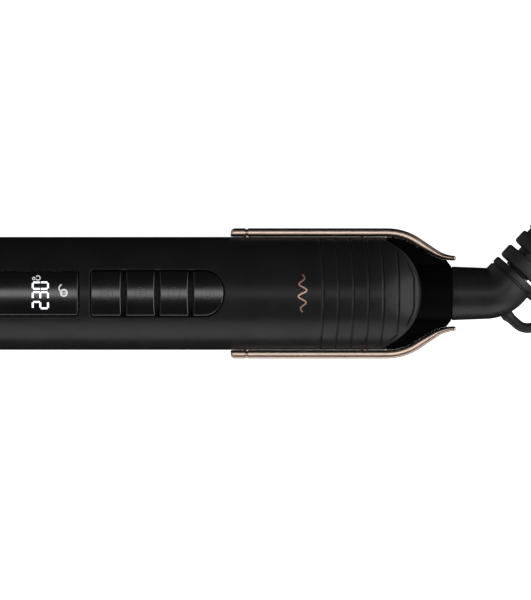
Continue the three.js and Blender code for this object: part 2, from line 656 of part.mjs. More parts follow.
/** The lamp block under the display lens. */
function displayModule() {
  const half = DISPLAY_HALF_WIDTH - DISPLAY_MODULE_BORDER;
  const lensInside = HANDLE_RADIUS - LENS_DEPTH - LENS_THICKNESS;
  const top = AXIS_HEIGHT + Math.sqrt(lensInside ** 2 - half ** 2) - DISPLAY_MODULE_GAP;
  return block(
    [DISPLAY_FRONT + DISPLAY_ROUND - 1, -half, BOARD_TOP + BOARD_LIFT],
    [DISPLAY_FRONT + DISPLAY_LENGTH - DISPLAY_MODULE_BORDER, half, top],
  );
}

/** A plain component hung under the board. */
function underBoard(x, { length, halfWidth, height }) {
  const top = BOARD_TOP - BOARD_THICKNESS - BOARD_LIFT;
  return block([x - length / 2, -halfWidth, top - height], [x + length / 2, halfWidth, top]);
}

/** The round fuse beside the board. */
function thermalFuse() {
  const middle = [BOARD_FRONT + FUSE.place, FUSE.across, AXIS_HEIGHT - FUSE.drop];
  return pin("x", middle, FUSE.length, FUSE.radius, 12);
}

/** A round lead through points. */
function lead(points, steps) {
  return wire(new THREE.CatmullRomCurve3(points3(...points)), LEAD_RADIUS, steps, 6);
}

/** A lead from the heater to the board. */
function heaterLead(sign) {
  const y = HEATER_LEAD_HALF * sign;
  return lead(
    [
      [BARREL_BACK - 21, y, AXIS_HEIGHT],
      [BARREL_BACK - 8, y, AXIS_HEIGHT],
      [COLLAR_BACK, 1.3 * y, AXIS_HEIGHT],
      [SCREW_XS[0], 5.6 * sign, AXIS_HEIGHT + 1],
      [BOARD_FRONT + 4, 6.5 * sign, BOARD_TOP - BOARD_THICKNESS - LEAD_DROP],
    ],
    14,
  );
}

/** A lead from a brush to the board. */
function supplyLead(sign) {
  const y = SUPPLY_LEAD_HALF * sign;
  return lead(
    [
      [SHAFT_FRONT + 1, 5.4 * sign, AXIS_HEIGHT - SHAFT_RADIUS - 5.2],
      [SHAFT_FRONT - 6, 6.5 * sign, AXIS_HEIGHT - 5],
      [BOARD_END - 1, y, AXIS_HEIGHT + 1],
      [BOARD_END - 6, y, BOARD_TOP - BOARD_THICKNESS - LEAD_DROP],
    ],
    10,
  );
}

// -------------------------------------------------------------------------------------------------
// Swivel
// -------------------------------------------------------------------------------------------------

/** The elbow's centre line: straight out of the neck, round the bend, and a short straight end. */
class ElbowLine extends THREE.Curve {
  constructor(lead) {
    super();
    this.lead = lead;
    this.radius = ELBOW_RADIUS + ELBOW_INNER_RADIUS;
    this.lengths = [lead, this.radius * ELBOW_TURN, ELBOW_END_LENGTH];
  }

  getPoint(t, target = new THREE.Vector3()) {
    const total = this.lengths.reduce((a, b) => a + b);
    const along = t * total;
    const bendX = ELBOW_START + NECK_LENGTH;
    if (along <= this.lengths[0]) {
      return target.set(bendX - this.lead + along, 0, AXIS_HEIGHT);
    }
    const turn = Math.min((along - this.lengths[0]) / this.radius, ELBOW_TURN);
    const past = Math.max(0, along - this.lengths[0] - this.lengths[1]);
    return target.set(
      bendX + this.radius * Math.sin(turn) + past * Math.cos(turn),
      this.radius * (1 - Math.cos(turn)) + past * Math.sin(turn),
      AXIS_HEIGHT,
    );
  }
}

const elbowLine = new ElbowLine(3);
const elbowEnd = elbowLine.getPoint(1);
const elbowDirection = new THREE.Vector3(Math.cos(ELBOW_TURN), Math.sin(ELBOW_TURN), 0);

/** The elbow's outside, grown by a margin. */
function elbowBody(margin) {
  const neckEnd = ELBOW_START + NECK_LENGTH - 2;
  const neck = turned(
    [
      [ELBOW_START - margin, 0],
      [ELBOW_START - margin, NECK_RADIUS + margin],
      [neckEnd, ELBOW_RADIUS + 0.2 + margin],
      [neckEnd, 0],
    ],
    18,
  );
  return joined(neck, wire(elbowLine, ELBOW_RADIUS + margin, 8, 18));
}

/** Turns a piece made along +X from the origin into one that leaves the elbow's end. */
function fromElbowEnd(geometry) {
  return solid(geometry.rotateZ(ELBOW_TURN).translate(elbowEnd.x, elbowEnd.y, AXIS_HEIGHT));
}

/** A round bore for the cord, along the elbow's end direction and equally long to both sides of the end. */
function cordBore(length) {
  const bore = new THREE.CylinderGeometry(CORD_BORE_RADIUS, CORD_BORE_RADIUS, 2 * length, 16);
  return fromElbowEnd(bore.rotateZ(-Math.PI / 2));
}

/** The elbow with the shaft that turns in the tail's boss. */
function swivelElbow() {
  const shaft = rod(SHAFT_FRONT, ELBOW_START + 1, SHAFT_RADIUS, 24);
  const shaftBore = rod(SHAFT_FRONT - 1, SHAFT_FRONT + SHAFT_BORE_LENGTH, CORD_BORE_RADIUS, 16);
  return cut(joined(elbowBody(0), shaft), cordBore(ELBOW_BORE_LENGTH), shaftBore);
}

const RELIEF_END = RELIEF_START + (RELIEF_RINGS - 1) * RELIEF_PITCH + RELIEF_RING_LENGTH;
const ringRadius = (i) => THREE.MathUtils.lerp(RELIEF_RADIUS, RELIEF_END_RADIUS, i / (RELIEF_RINGS - 1));

/** The strain relief's rings on their core, along +X from the elbow's end. */
function reliefProfile() {
  const profile = [[GAP, CORD_BORE_RADIUS], [GAP, RELIEF_CORE_RADIUS]];
  for (let i = 0; i < RELIEF_RINGS; i++) {
    const x = RELIEF_START + i * RELIEF_PITCH;
    const radius = ringRadius(i);
    profile.push([x, RELIEF_CORE_RADIUS], [x, radius], [x + RELIEF_RING_LENGTH, radius]);
    if (i < RELIEF_RINGS - 1) profile.push([x + RELIEF_RING_LENGTH, RELIEF_CORE_RADIUS]);
  }
  profile.push([RELIEF_END, CORD_BORE_RADIUS], [GAP, CORD_BORE_RADIUS]);
  return profile;
}

/** The ribbed sleeve: rings on a core, joined by webs that change sides from gap to gap. */
function strainRelief() {
  const points = reliefProfile().map(([x, r]) => new THREE.Vector2(r, x));
  const rings = fromElbowEnd(new THREE.LatheGeometry(points, 16).rotateZ(-Math.PI / 2));
  const length = RELIEF_PITCH - RELIEF_RING_LENGTH + 1;
  const webs = Array.from({ length: RELIEF_RINGS - 1 }, (_, i) => {
    const centre = RELIEF_START + (i + 0.5) * RELIEF_PITCH + RELIEF_RING_LENGTH / 2;
    const reach = 2 * (ringRadius(i + 1) - RELIEF_WEB_SINK);
    const [wide, tall] = i % 2 ? [reach, RELIEF_WEB] : [RELIEF_WEB, reach];
    return fromElbowEnd(new THREE.BoxGeometry(length, wide, tall).translate(centre, 0, 0));
  });
  return cut(joined(rings, ...webs), cordBore(RELIEF_END + 2));
}

/** A point of the hanging loop: how far along the elbow's end, and how far out from its centre line. */
function loopPoint(forward, outward) {
  const foot = elbowEnd.clone().addScaledVector(elbowDirection, -LOOP_HALF_WIDTH - LOOP_TUBE_RADIUS - GAP);
  const out = new THREE.Vector3(Math.sin(ELBOW_TURN), -Math.cos(ELBOW_TURN), 0);
  return foot.addScaledVector(elbowDirection, forward).addScaledVector(out, outward);
}

/** The hanging loop: two legs out of the elbow's outer side and a half-round bend. */
function hangingLoop() {
  const root = ELBOW_RADIUS - LOOP_ROOT;
  const reach = ELBOW_RADIUS + LOOP_LEG;
  const steps = 8;
  const bend = Array.from({ length: steps + 1 }, (_, i) => {
    const angle = (Math.PI * i) / steps;
    return loopPoint(-LOOP_HALF_WIDTH * Math.cos(angle), reach + LOOP_HALF_WIDTH * Math.sin(angle));
  });
  const path = new THREE.CurvePath();
  path.add(new THREE.LineCurve3(loopPoint(-LOOP_HALF_WIDTH, root), loopPoint(-LOOP_HALF_WIDTH, reach)));
  path.add(new THREE.CatmullRomCurve3(bend));
  path.add(new THREE.LineCurve3(loopPoint(LOOP_HALF_WIDTH, reach), loopPoint(LOOP_HALF_WIDTH, root)));
  return wire(path, LOOP_TUBE_RADIUS, 18, 8).subtract(elbowBody(GAP));
}

const RING_XS = [0, 1].map((i) => SHAFT_FRONT + SLIP_RING_FIRST + i * SLIP_RING_PITCH);
const RINGS_END = RING_XS[1] + SLIP_RING_WIDTH;

/** A slip ring on the shaft. */
function slipRing(x) {
  return tube(x, x + SLIP_RING_WIDTH, SHAFT_RADIUS + SLIP_RING_STEP, SHAFT_RADIUS + GAP, 24);
}

/** The clip that keeps the shaft in the tail's boss. */
function swivelRetainer() {
  const x = RINGS_END + 2 * GAP;
  const end = Math.min(x + RETAINER_WIDTH, flankStart() - GAP);
  return tube(x, end, SHAFT_RADIUS + RETAINER_STEP, SHAFT_RADIUS + GAP, 24);
}

const BRUSH_FLOOR = AXIS_HEIGHT - SHAFT_RADIUS - BRUSH_FLOOR_DROP;

/** A brush under one slip ring. */
function brush(x) {
  const top = AXIS_HEIGHT - SHAFT_RADIUS - SLIP_RING_STEP - GAP;
  const margin = GAP + 0.2;
  return block(
    [x + margin, -BRUSH_HALF_WIDTH, BRUSH_FLOOR + GAP],
    [x + SLIP_RING_WIDTH - margin, BRUSH_HALF_WIDTH, top],
  );
}

/** The plate that carries both brushes. */
function brushHolder() {
  return block(
    [RING_XS[0] - 1, -BRUSH_HOLDER_HALF_WIDTH, BRUSH_FLOOR - BRUSH_HOLDER_THICKNESS],
    [RINGS_END + 1, BRUSH_HOLDER_HALF_WIDTH, BRUSH_FLOOR],
  );
}

// -------------------------------------------------------------------------------------------------
// Collar, barrel and heater
// -------------------------------------------------------------------------------------------------

const SPIGOT_RADIUS = INNER_RADIUS - GAP;
const BRACKET_SCREW_X = PIVOT_X + BRACKET_SCREW_BACK;
const BRACKET_SCREW_DEPTH = PIVOT_RISE + 3; // below the pin's axis
const SPIGOT_BACK = HANDLE_FRONT + SPIGOT_LENGTH;
const CABLE_WAY_RADIUS = BARREL_RADIUS - CABLE_WAY_WALL;

/** The collar's outside radius at x, a little slimmer towards the barrel. */
function collarRadius(x) {
  return COLLAR_RADIUS - (COLLAR_TAPER * (COLLAR_BACK - x)) / COLLAR_LENGTH;
}

/** The collar: a spigot in the handle, a shoulder round the barrel's end, and a way for the leads. */
function barrelCollar() {
  const ring = turned([
    [COLLAR_FRONT, BARREL_RADIUS + GAP],
    [COLLAR_FRONT, collarRadius(COLLAR_FRONT) - COLLAR_CHAMFER],
    [COLLAR_FRONT + COLLAR_CHAMFER, collarRadius(COLLAR_FRONT)],
    [COLLAR_BACK, COLLAR_RADIUS],
    [COLLAR_BACK, SPIGOT_RADIUS],
    [SPIGOT_BACK, SPIGOT_RADIUS],
    [SPIGOT_BACK, CABLE_WAY_RADIUS],
    [BARREL_BACK + GAP, CABLE_WAY_RADIUS],
    [BARREL_BACK + GAP, BARREL_RADIUS + GAP],
    [COLLAR_FRONT, BARREL_RADIUS + GAP],
  ]);
  const standHole = pin("y", [STAND_X, 0, STAND_Z], 4 * COLLAR_RADIUS, STAND_WIRE_RADIUS + GAP, 12);
  const middle = [BRACKET_SCREW_X, 0, PIVOT_Z - BRACKET_SCREW_DEPTH / 2];
  const screwHole = pin("z", middle, BRACKET_SCREW_DEPTH, BRACKET_SCREW_RADIUS + GAP, 10);
  return cut(ring, standHole, screwHole).intersect(above(0));
}

/** The ring between the collar and the handle. */
function trimRing() {
  const ring = tube(COLLAR_BACK + GAP, TRIM_BACK, COLLAR_RADIUS + TRIM_STEP, SPIGOT_RADIUS + GAP, 40);
  return ring.intersect(above(0));
}

/** The heated tube. */
function barrel() {
  return tube(BARREL_FRONT, BARREL_BACK, BARREL_RADIUS, BARREL_BORE);
}

/** One half of the heater's aluminium carrier: a half-round shell closed by a flat web. */
function heaterCarrier(sign) {
  const outer = BARREL_BORE - CARRIER_PLAY;
  const inner = outer - CARRIER_WALL;
  const web = PTC_HALF_HEIGHT + GAP;
  const half = new THREE.Shape();
  const start = Math.asin(web / outer);
  half.absarc(0, 0, outer, start, Math.PI - start);
  half.closePath();
  const hollow = new THREE.Path();
  const floor = Math.asin((web + CARRIER_WALL) / inner);
  hollow.absarc(0, 0, inner, floor, Math.PI - floor);
  hollow.closePath();
  half.holes.push(hollow);
  const made = lengthwise(half, BARREL_FRONT + CARRIER_INSET[0], BARREL_BACK - CARRIER_INSET[1], 10);
  return sign > 0 ? made : mirroredBelow(made);
}

/** The same piece on the other side of the axis, below. */
function mirroredBelow(body) {
  const geometry = geometryOf(body);
  geometry.translate(0, 0, -AXIS_HEIGHT).rotateX(Math.PI).translate(0, 0, AXIS_HEIGHT);
  return solid(geometry);
}

/** The flat heating element between the two carriers. */
function ptcHeater() {
  return block(
    [BARREL_FRONT + PTC_INSET[0], -PTC_HALF_WIDTH, AXIS_HEIGHT - PTC_HALF_HEIGHT],
    [BARREL_BACK - PTC_INSET[1], PTC_HALF_WIDTH, AXIS_HEIGHT + PTC_HALF_HEIGHT],
  );
}

/** The ceramic ring in the collar's cable way that keeps the barrel's heat out of the handle. */
function heatShield() {
  const front = BARREL_BACK + SHIELD_BACK;
  return tube(front, front + SHIELD_THICKNESS, CABLE_WAY_RADIUS - GAP, SHIELD_BORE_RADIUS, 24);
}

/** The temperature sensor in the upper carrier. */
function thermistor() {
  const middle = [BARREL_BACK - THERMISTOR.place, 0, AXIS_HEIGHT + THERMISTOR.rise];
  return pin("x", middle, THERMISTOR.length, THERMISTOR.radius, 10);
}

/** The ring between the barrel and the cool tip. */
function tipRing() {
  const back = BARREL_FRONT - GAP;
  return tube(back - TIP_RING_WIDTH, back, BARREL_RADIUS + TIP_RING_STEP, BARREL_BORE);
}

/** The cool tip: a hollow cap with a round end and a spigot in the barrel. */
function tipCap() {
  const back = BARREL_FRONT - TIP_RING_WIDTH - 2 * GAP;
  const front = back - TIP_LENGTH;
  const radius = BARREL_RADIUS - TIP_STEP;
  const spigotEnd = BARREL_FRONT + TIP_SPIGOT_LENGTH;
  const bore = BARREL_BORE - TIP_WALL;
  const spigot = BARREL_BORE - GAP;
  const profile = [[spigotEnd, bore], [spigotEnd, spigot], [back, spigot], [back, radius]];
  const steps = 4;
  for (let i = 0; i <= steps; i++) {
    const angle = (i / steps) * (Math.PI / 2);
    profile.push([front + TIP_ROUND * (1 - Math.sin(angle)), radius - TIP_ROUND * (1 - Math.cos(angle))]);
  }
  profile.push([front, 0], [front + TIP_WALL, 0], [front + TIP_WALL, radius - TIP_ROUND - 1]);
  profile.push([front + TIP_ROUND, bore], [spigotEnd, bore]);
  return turned(profile, 24);
}

// -------------------------------------------------------------------------------------------------
// Clamp
// -------------------------------------------------------------------------------------------------

const EAR_INSIDE = LEVER_HALF_WIDTH + EAR_PLAY;
const COIL_MEAN = PIN_RADIUS + GAP + SPRING_WIRE_RADIUS;
const LEVER_RAISE = COIL_MEAN + SPRING_WIRE_RADIUS + GAP; // of the lever's underside above the pin's axis
const LEVER_END_X = PIVOT_X + LEVER_LENGTH * Math.cos(LEVER_RISE);
const LEVER_END_Z = PIVOT_Z + LEVER_RAISE + LEVER_LENGTH * Math.sin(LEVER_RISE);
const BLADE_TOP = AXIS_HEIGHT + BARREL_RADIUS + GAP + BLADE_THICKNESS;
const SEAT_Z = PIVOT_Z - SADDLE_TOP;
const RIVET_XS = RIVET_PLACES.map((ahead) => COLLAR_FRONT - ahead);

/** One ear of the saddle, a plate that rises round the pin, from inside to outside. */
function bracketEar(inside) {
  const profile = new THREE.Shape();
  const foot = PIVOT_Z - SADDLE_TOP - 2 * GAP;
  profile.moveTo(PIVOT_X - SADDLE_SPAN[0] + 1, foot);
  profile.lineTo(PIVOT_X + SADDLE_SPAN[1] - 2, foot);
  profile.lineTo(PIVOT_X + EAR_RADIUS * Math.cos(0.4), PIVOT_Z + EAR_RADIUS * Math.sin(0.4));
  profile.absarc(PIVOT_X, PIVOT_Z, EAR_RADIUS, 0.4, Math.PI);
  profile.closePath();
  return across(profile, inside, inside + EAR_THICKNESS, 6);
}

/** The saddle on the collar with two ears that hold the clamp's pin. */
function clampBracket() {
  const half = EAR_INSIDE + EAR_THICKNESS;
  const foot = block(
    [PIVOT_X - SADDLE_SPAN[0], -half, AXIS_HEIGHT + COLLAR_RADIUS - SADDLE_SINK],
    [PIVOT_X + SADDLE_SPAN[1], half, SEAT_Z],
  );
  const seat = rod(COLLAR_FRONT - LEVER_STRAP, COLLAR_BACK + 1, COLLAR_RADIUS + GAP);
  const screwHole = pin("z", [BRACKET_SCREW_X, 0, PIVOT_Z], 20, BRACKET_SCREW_RADIUS + GAP, 10);
  const hole = pin("y", [PIVOT_X, 0, PIVOT_Z], 4 * half, PIN_RADIUS + GAP / 2, 12);
  return cut(joined(foot, bracketEar(EAR_INSIDE), bracketEar(-half)), seat, hole, screwHole);
}

/** The screw that holds the saddle to the collar. */
function bracketScrew() {
  const head = pin("z", [BRACKET_SCREW_X, 0, SEAT_Z + GAP + 0.5], 1, SMALL_HEAD_RADIUS, 12);
  const bottom = PIVOT_Z - BRACKET_SCREW_DEPTH + GAP;
  const top = SEAT_Z + 1;
  const shank = pin("z", [BRACKET_SCREW_X, 0, (top + bottom) / 2], top - bottom, BRACKET_SCREW_RADIUS, 10);
  return joined(head, shank);
}

/** The clamp's pin with a head at each end. */
function clampPin() {
  const half = EAR_INSIDE + EAR_THICKNESS + GAP;
  const shank = pin("y", [PIVOT_X, 0, PIVOT_Z], 2 * half + 1, PIN_RADIUS, 12);
  const heads = [-1, 1].map((sign) =>
    pin("y", [PIVOT_X, sign * (half + 0.5), PIVOT_Z], 1, PIN_RADIUS + PIN_HEAD_STEP, 12),
  );
  return joined(shank, ...heads);
}

/** A torsion spring round the pin, with one leg on the saddle and one under the lever. */
function clampSpring() {
  const half = LEVER_HALF_WIDTH - LEVER_THICKNESS - SPRING_INSET;
  const perTurn = 8;
  const steps = SPRING_TURNS * perTurn;
  const coil = [];
  for (let i = 0; i <= steps; i++) {
    const angle = -Math.PI / 2 + (2 * Math.PI * i) / perTurn;
    const y = -half + (2 * half * i) / steps;
    coil.push([PIVOT_X + COIL_MEAN * Math.cos(angle), y, PIVOT_Z + COIL_MEAN * Math.sin(angle)]);
  }
  const footLeg = [PIVOT_X + 8, -half, PIVOT_Z - COIL_MEAN];
  const leverLeg = [PIVOT_X + 5, half, PIVOT_Z - COIL_MEAN + 0.6];
  const path = new THREE.CatmullRomCurve3(points3(footLeg, ...coil, leverLeg));
  return wire(path, SPRING_WIRE_RADIUS, 44, 5);
}

/** The half-round blade over the barrel, with a lifted tip. */
function clampBlade() {
  const inner = BARREL_RADIUS + GAP;
  const outer = inner + BLADE_THICKNESS;
  const shape = new THREE.Shape();
  const from = Math.PI / 2 - BLADE_SPREAD;
  const to = Math.PI / 2 + BLADE_SPREAD;
  shape.absarc(0, 0, outer, from, to);
  shape.lineTo(inner * Math.cos(to), inner * Math.sin(to));
  shape.absarc(0, 0, inner, to, from, true);
  shape.closePath();
  return lengthwise(shape, BARREL_FRONT + 3, COLLAR_FRONT - 1, 12);
}

/** One cheek of the lever, a plate from the strap down round the pin. */
function leverCheek(inside) {
  const profile = new THREE.Shape();
  profile.absarc(PIVOT_X, PIVOT_Z, CHEEK_RADIUS, Math.PI, 2 * Math.PI);
  profile.lineTo(PIVOT_X + CHEEK_RADIUS, PIVOT_Z + LEVER_RAISE + GAP);
  profile.lineTo(PIVOT_X - CHEEK_RADIUS, PIVOT_Z + LEVER_RAISE + GAP);
  profile.closePath();
  return across(profile, inside, inside + LEVER_THICKNESS, 6);
}

/** The bent steel lever: a strap on the blade, two cheeks round the pin, and a strap up to the thumb pad. */
function clampLever() {
  const strapBottom = BLADE_TOP + GAP;
  const lower = [
    [COLLAR_FRONT - LEVER_STRAP, strapBottom],
    [COLLAR_FRONT - LEVER_FLAT_END, strapBottom],
    [PIVOT_X - LEVER_KNEE, PIVOT_Z + LEVER_RAISE],
    [PIVOT_X, PIVOT_Z + LEVER_RAISE],
    [LEVER_END_X, LEVER_END_Z],
  ];
  const upper = lower.map(([x, z]) => [x, z + LEVER_THICKNESS]).reverse();
  const strap = across(outline([...lower, ...upper]), -LEVER_HALF_WIDTH, LEVER_HALF_WIDTH);
  const hole = pin("y", [PIVOT_X, 0, PIVOT_Z], 4 * LEVER_HALF_WIDTH, PIN_RADIUS + GAP / 2, 12);
  const rivetHoles = RIVET_XS.map((x) => pin("z", [x, 0, strapBottom], 8, RIVET_RADIUS + GAP, 10));
  const body = joined(strap, leverCheek(LEVER_HALF_WIDTH - LEVER_THICKNESS), leverCheek(-LEVER_HALF_WIDTH));
  return cut(body, hole, ...rivetHoles);
}

/** A rivet between the blade and the lever's strap. */
function clampRivet(x) {
  const top = BLADE_TOP + GAP + LEVER_THICKNESS;
  const shank = pin("z", [x, 0, (BLADE_TOP + top) / 2 + GAP], top - BLADE_TOP, RIVET_RADIUS, 10);
  return joined(shank, pin("z", [x, 0, top + 2 * GAP], 0.8, SMALL_HEAD_RADIUS, 12));
}

/** The thumb pad: a cool cover over the lever's end. */
function thumbPad() {
  const half = LEVER_HALF_WIDTH + PAD_OVERHANG;
  const front = PAD_PAST_END - PAD_LENGTH;
  const bottom = LEVER_THICKNESS / 2 + GAP;
  const shape = new THREE.Shape();
  shape.moveTo(front, -half);
  shape.absarc(PAD_PAST_END - half, 0, half, -Math.PI / 2, Math.PI / 2);
  shape.lineTo(front, half);
  shape.closePath();
  const options = { depth: PAD_THICKNESS, bevelEnabled: false, curveSegments: 8 };
  const cover = new THREE.ExtrudeGeometry(shape, options);
  cover.translate(0, 0, bottom).rotateY(-LEVER_RISE);
  return solid(cover.translate(LEVER_END_X, 0, LEVER_END_Z + LEVER_THICKNESS / 2 + GAP));
}

// -------------------------------------------------------------------------------------------------
// Stand
// -------------------------------------------------------------------------------------------------

/** The wire stand, folded along the underside of the barrel. */
function standWire() {
  const side = COLLAR_RADIUS + STAND_WIRE_RADIUS + STAND_PLAY;
  const footX = STAND_X - STAND_REACH;
  const footZ = AXIS_HEIGHT - BARREL_RADIUS - STAND_WIRE_RADIUS - STAND_PLAY;
  const half = (sign) => [
    [STAND_X, sign * (side - STAND_TOE_IN), STAND_Z],
    [STAND_X, sign * side, STAND_Z],
    [footX, sign * (side - STAND_TOE_IN), footZ],
  ];
  const corners = points3(...half(1), ...half(-1).reverse());
  const legs = [];
  for (let i = 0; i < corners.length - 1; i++) {
    legs.push(wire(new THREE.LineCurve3(corners[i], corners[i + 1]), STAND_WIRE_RADIUS, 1, 6));
  }
  const knuckles = corners.slice(1, -1).map((p) => {
    const ball = new THREE.SphereGeometry(STAND_WIRE_RADIUS, 8, 6);
    return solid(ball.translate(p.x, p.y, p.z));
  });
  return joined(...legs, ...knuckles);
}

// -------------------------------------------------------------------------------------------------
// Assembly
// -------------------------------------------------------------------------------------------------

add("upper_housing", upperHousing(), "softTouch");
add("lower_housing", lowerHousing(), "softTouch");
add("tail_cap", tailCap(), "softTouch");
add("side_rail_left", sideRail(1), "roseGold");
add("side_rail_right", sideRail(-1), "roseGold");
SCREW_XS.forEach((x, i) => add(`housing_screw_${i + 1}`, housingScrew(x), "steel"));

add("display_lens", skinPatch(displayOutline(GAP), LENS_DEPTH, LENS_THICKNESS), "glossBlack");
add("display_module", displayModule(), "component");
add("button_carrier", buttonCarrier(), "component");
const BUTTON_NAMES = ["ion_button", "plus_button", "minus_button", "power_button"];
BUTTON_NAMES.forEach((name, i) => {
  add(name, button(i), "glossBlack");
  add(name.replace("button", "switch"), tactSwitch(i), "component");
});
add("control_board", controlBoard(), "board");
add("power_module", underBoard(BOARD_FRONT + POWER_MODULE.place, POWER_MODULE), "component");
add("ion_generator", underBoard(STRIP_FRONT + ION_GENERATOR.place, ION_GENERATOR), "ceramic");
add("thermal_fuse", thermalFuse(), "steel");
[1, -1].forEach((sign) => {
  const side = sign > 0 ? "live" : "neutral";
  add(`heater_lead_${side}`, heaterLead(sign), "lead");
  add(`supply_lead_${side}`, supplyLead(sign), "lead");
});

add("swivel_elbow", swivelElbow(), "elbow");
add("swivel_retainer", swivelRetainer(), "steel");
add("slip_ring_live", slipRing(RING_XS[0]), "brass");
add("slip_ring_neutral", slipRing(RING_XS[1]), "brass");
add("strain_relief", strainRelief(), "rubber");
add("hanging_loop", hangingLoop(), "rubber");
add("brush_live", brush(RING_XS[0]), "brass");
add("brush_neutral", brush(RING_XS[1]), "brass");
add("brush_holder", brushHolder(), "component");

add("trim_ring", trimRing(), "roseGold");
add("barrel_collar", barrelCollar(), "softTouch");
add("heat_shield", heatShield(), "ceramic");
add("barrel", barrel(), "coating");
add("heater_carrier_upper", heaterCarrier(1), "aluminium");
add("heater_carrier_lower", heaterCarrier(-1), "aluminium");
add("ptc_heater", ptcHeater(), "ceramic");
add("thermistor", thermistor(), "ceramic");
add("tip_ring", tipRing(), "roseGold");
add("tip_cap", tipCap(), "softTouch");

add("clamp_bracket", clampBracket(), "steel");
add("bracket_screw", bracketScrew(), "steel");
add("clamp_pin", clampPin(), "steel");
add("clamp_spring", clampSpring(), "steel");
add("clamp_blade", clampBlade(), "coating");
add("clamp_lever", clampLever(), "steel");
RIVET_XS.forEach((x, i) => add(`clamp_rivet_${i + 1}`, clampRivet(x), "steel"));
add("thumb_pad", thumbPad(), "softTouch");
add("stand", standWire(), "steel");

export default curlingIron;
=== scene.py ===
"""Curling iron: the fine surfaces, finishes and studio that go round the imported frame.

The frame holds every sub-part as a plain solid in its place. Each class below is one sub-assembly of the
iron. It reads its places from the frame, builds finer meshes in millimetres and lets them ride on the frame's
bodies.
"""

import json
import logging
import math
from collections.abc import Iterable, Sequence
from dataclasses import dataclass, field
from enum import Enum

import bmesh
import bpy
import numpy as np
from mathutils import Matrix, Vector


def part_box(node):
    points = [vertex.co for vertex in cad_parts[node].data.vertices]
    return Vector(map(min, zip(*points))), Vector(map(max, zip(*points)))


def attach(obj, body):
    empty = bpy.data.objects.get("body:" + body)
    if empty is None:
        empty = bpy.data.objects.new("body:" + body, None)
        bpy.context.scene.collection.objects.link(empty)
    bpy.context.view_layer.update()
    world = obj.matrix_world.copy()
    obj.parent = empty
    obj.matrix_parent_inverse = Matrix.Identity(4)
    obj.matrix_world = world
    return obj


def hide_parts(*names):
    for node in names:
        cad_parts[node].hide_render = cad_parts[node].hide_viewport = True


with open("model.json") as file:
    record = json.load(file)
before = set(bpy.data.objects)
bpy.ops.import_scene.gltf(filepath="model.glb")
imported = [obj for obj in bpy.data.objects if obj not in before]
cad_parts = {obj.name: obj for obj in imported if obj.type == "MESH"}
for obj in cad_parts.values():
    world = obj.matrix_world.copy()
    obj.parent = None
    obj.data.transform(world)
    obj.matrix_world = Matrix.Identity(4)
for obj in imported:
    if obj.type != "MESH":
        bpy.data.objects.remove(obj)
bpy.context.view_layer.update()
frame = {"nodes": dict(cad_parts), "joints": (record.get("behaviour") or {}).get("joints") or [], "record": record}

MM = 0.001
WELD = 1e-7  # metres: points closer than this are one
SLIP = 0.3  # millimetres of play between two pieces

Array = np.ndarray
Colour = tuple[float, float, float]
Flat = list[tuple[float, float]]

log = logging.getLogger("curling_iron")


# --- Named options ---


class Body(Enum):
    """The frame's moving bodies."""

    HANDLE = "handle"
    CLAMP = "clamp"
    STAND = "stand"
    SWIVEL = "swivel"
    ION_KEY = "ion_key"
    PLUS_KEY = "plus_key"
    MINUS_KEY = "minus_key"
    POWER_KEY = "power_key"


class Slot(Enum):
    """The record's material slots."""

    SOFT_TOUCH = "soft_touch"
    GLOSS_BLACK = "gloss_black"
    ELBOW_BLACK = "elbow_black"
    BLACK_RUBBER = "black_rubber"
    ROSE_GOLD = "rose_gold"
    BARREL_COAT = "barrel_coat"
    BLADE_COAT = "blade_coat"
    STEEL = "steel"
    BRASS = "brass"
    ALUMINIUM = "aluminium"
    CERAMIC = "ceramic"
    BOARD = "board"
    COMPONENT = "component"
    LEAD = "lead"


class End(Enum):
    """How an outline on the handle's skin ends."""

    SQUARE = "square"
    ROUND = "round"
    HOLLOW = "hollow"


class Combine(Enum):
    """The three ways that two solids are combined."""

    CUT = "DIFFERENCE"
    JOIN = "UNION"
    COMMON = "INTERSECT"


# --- Solids ---


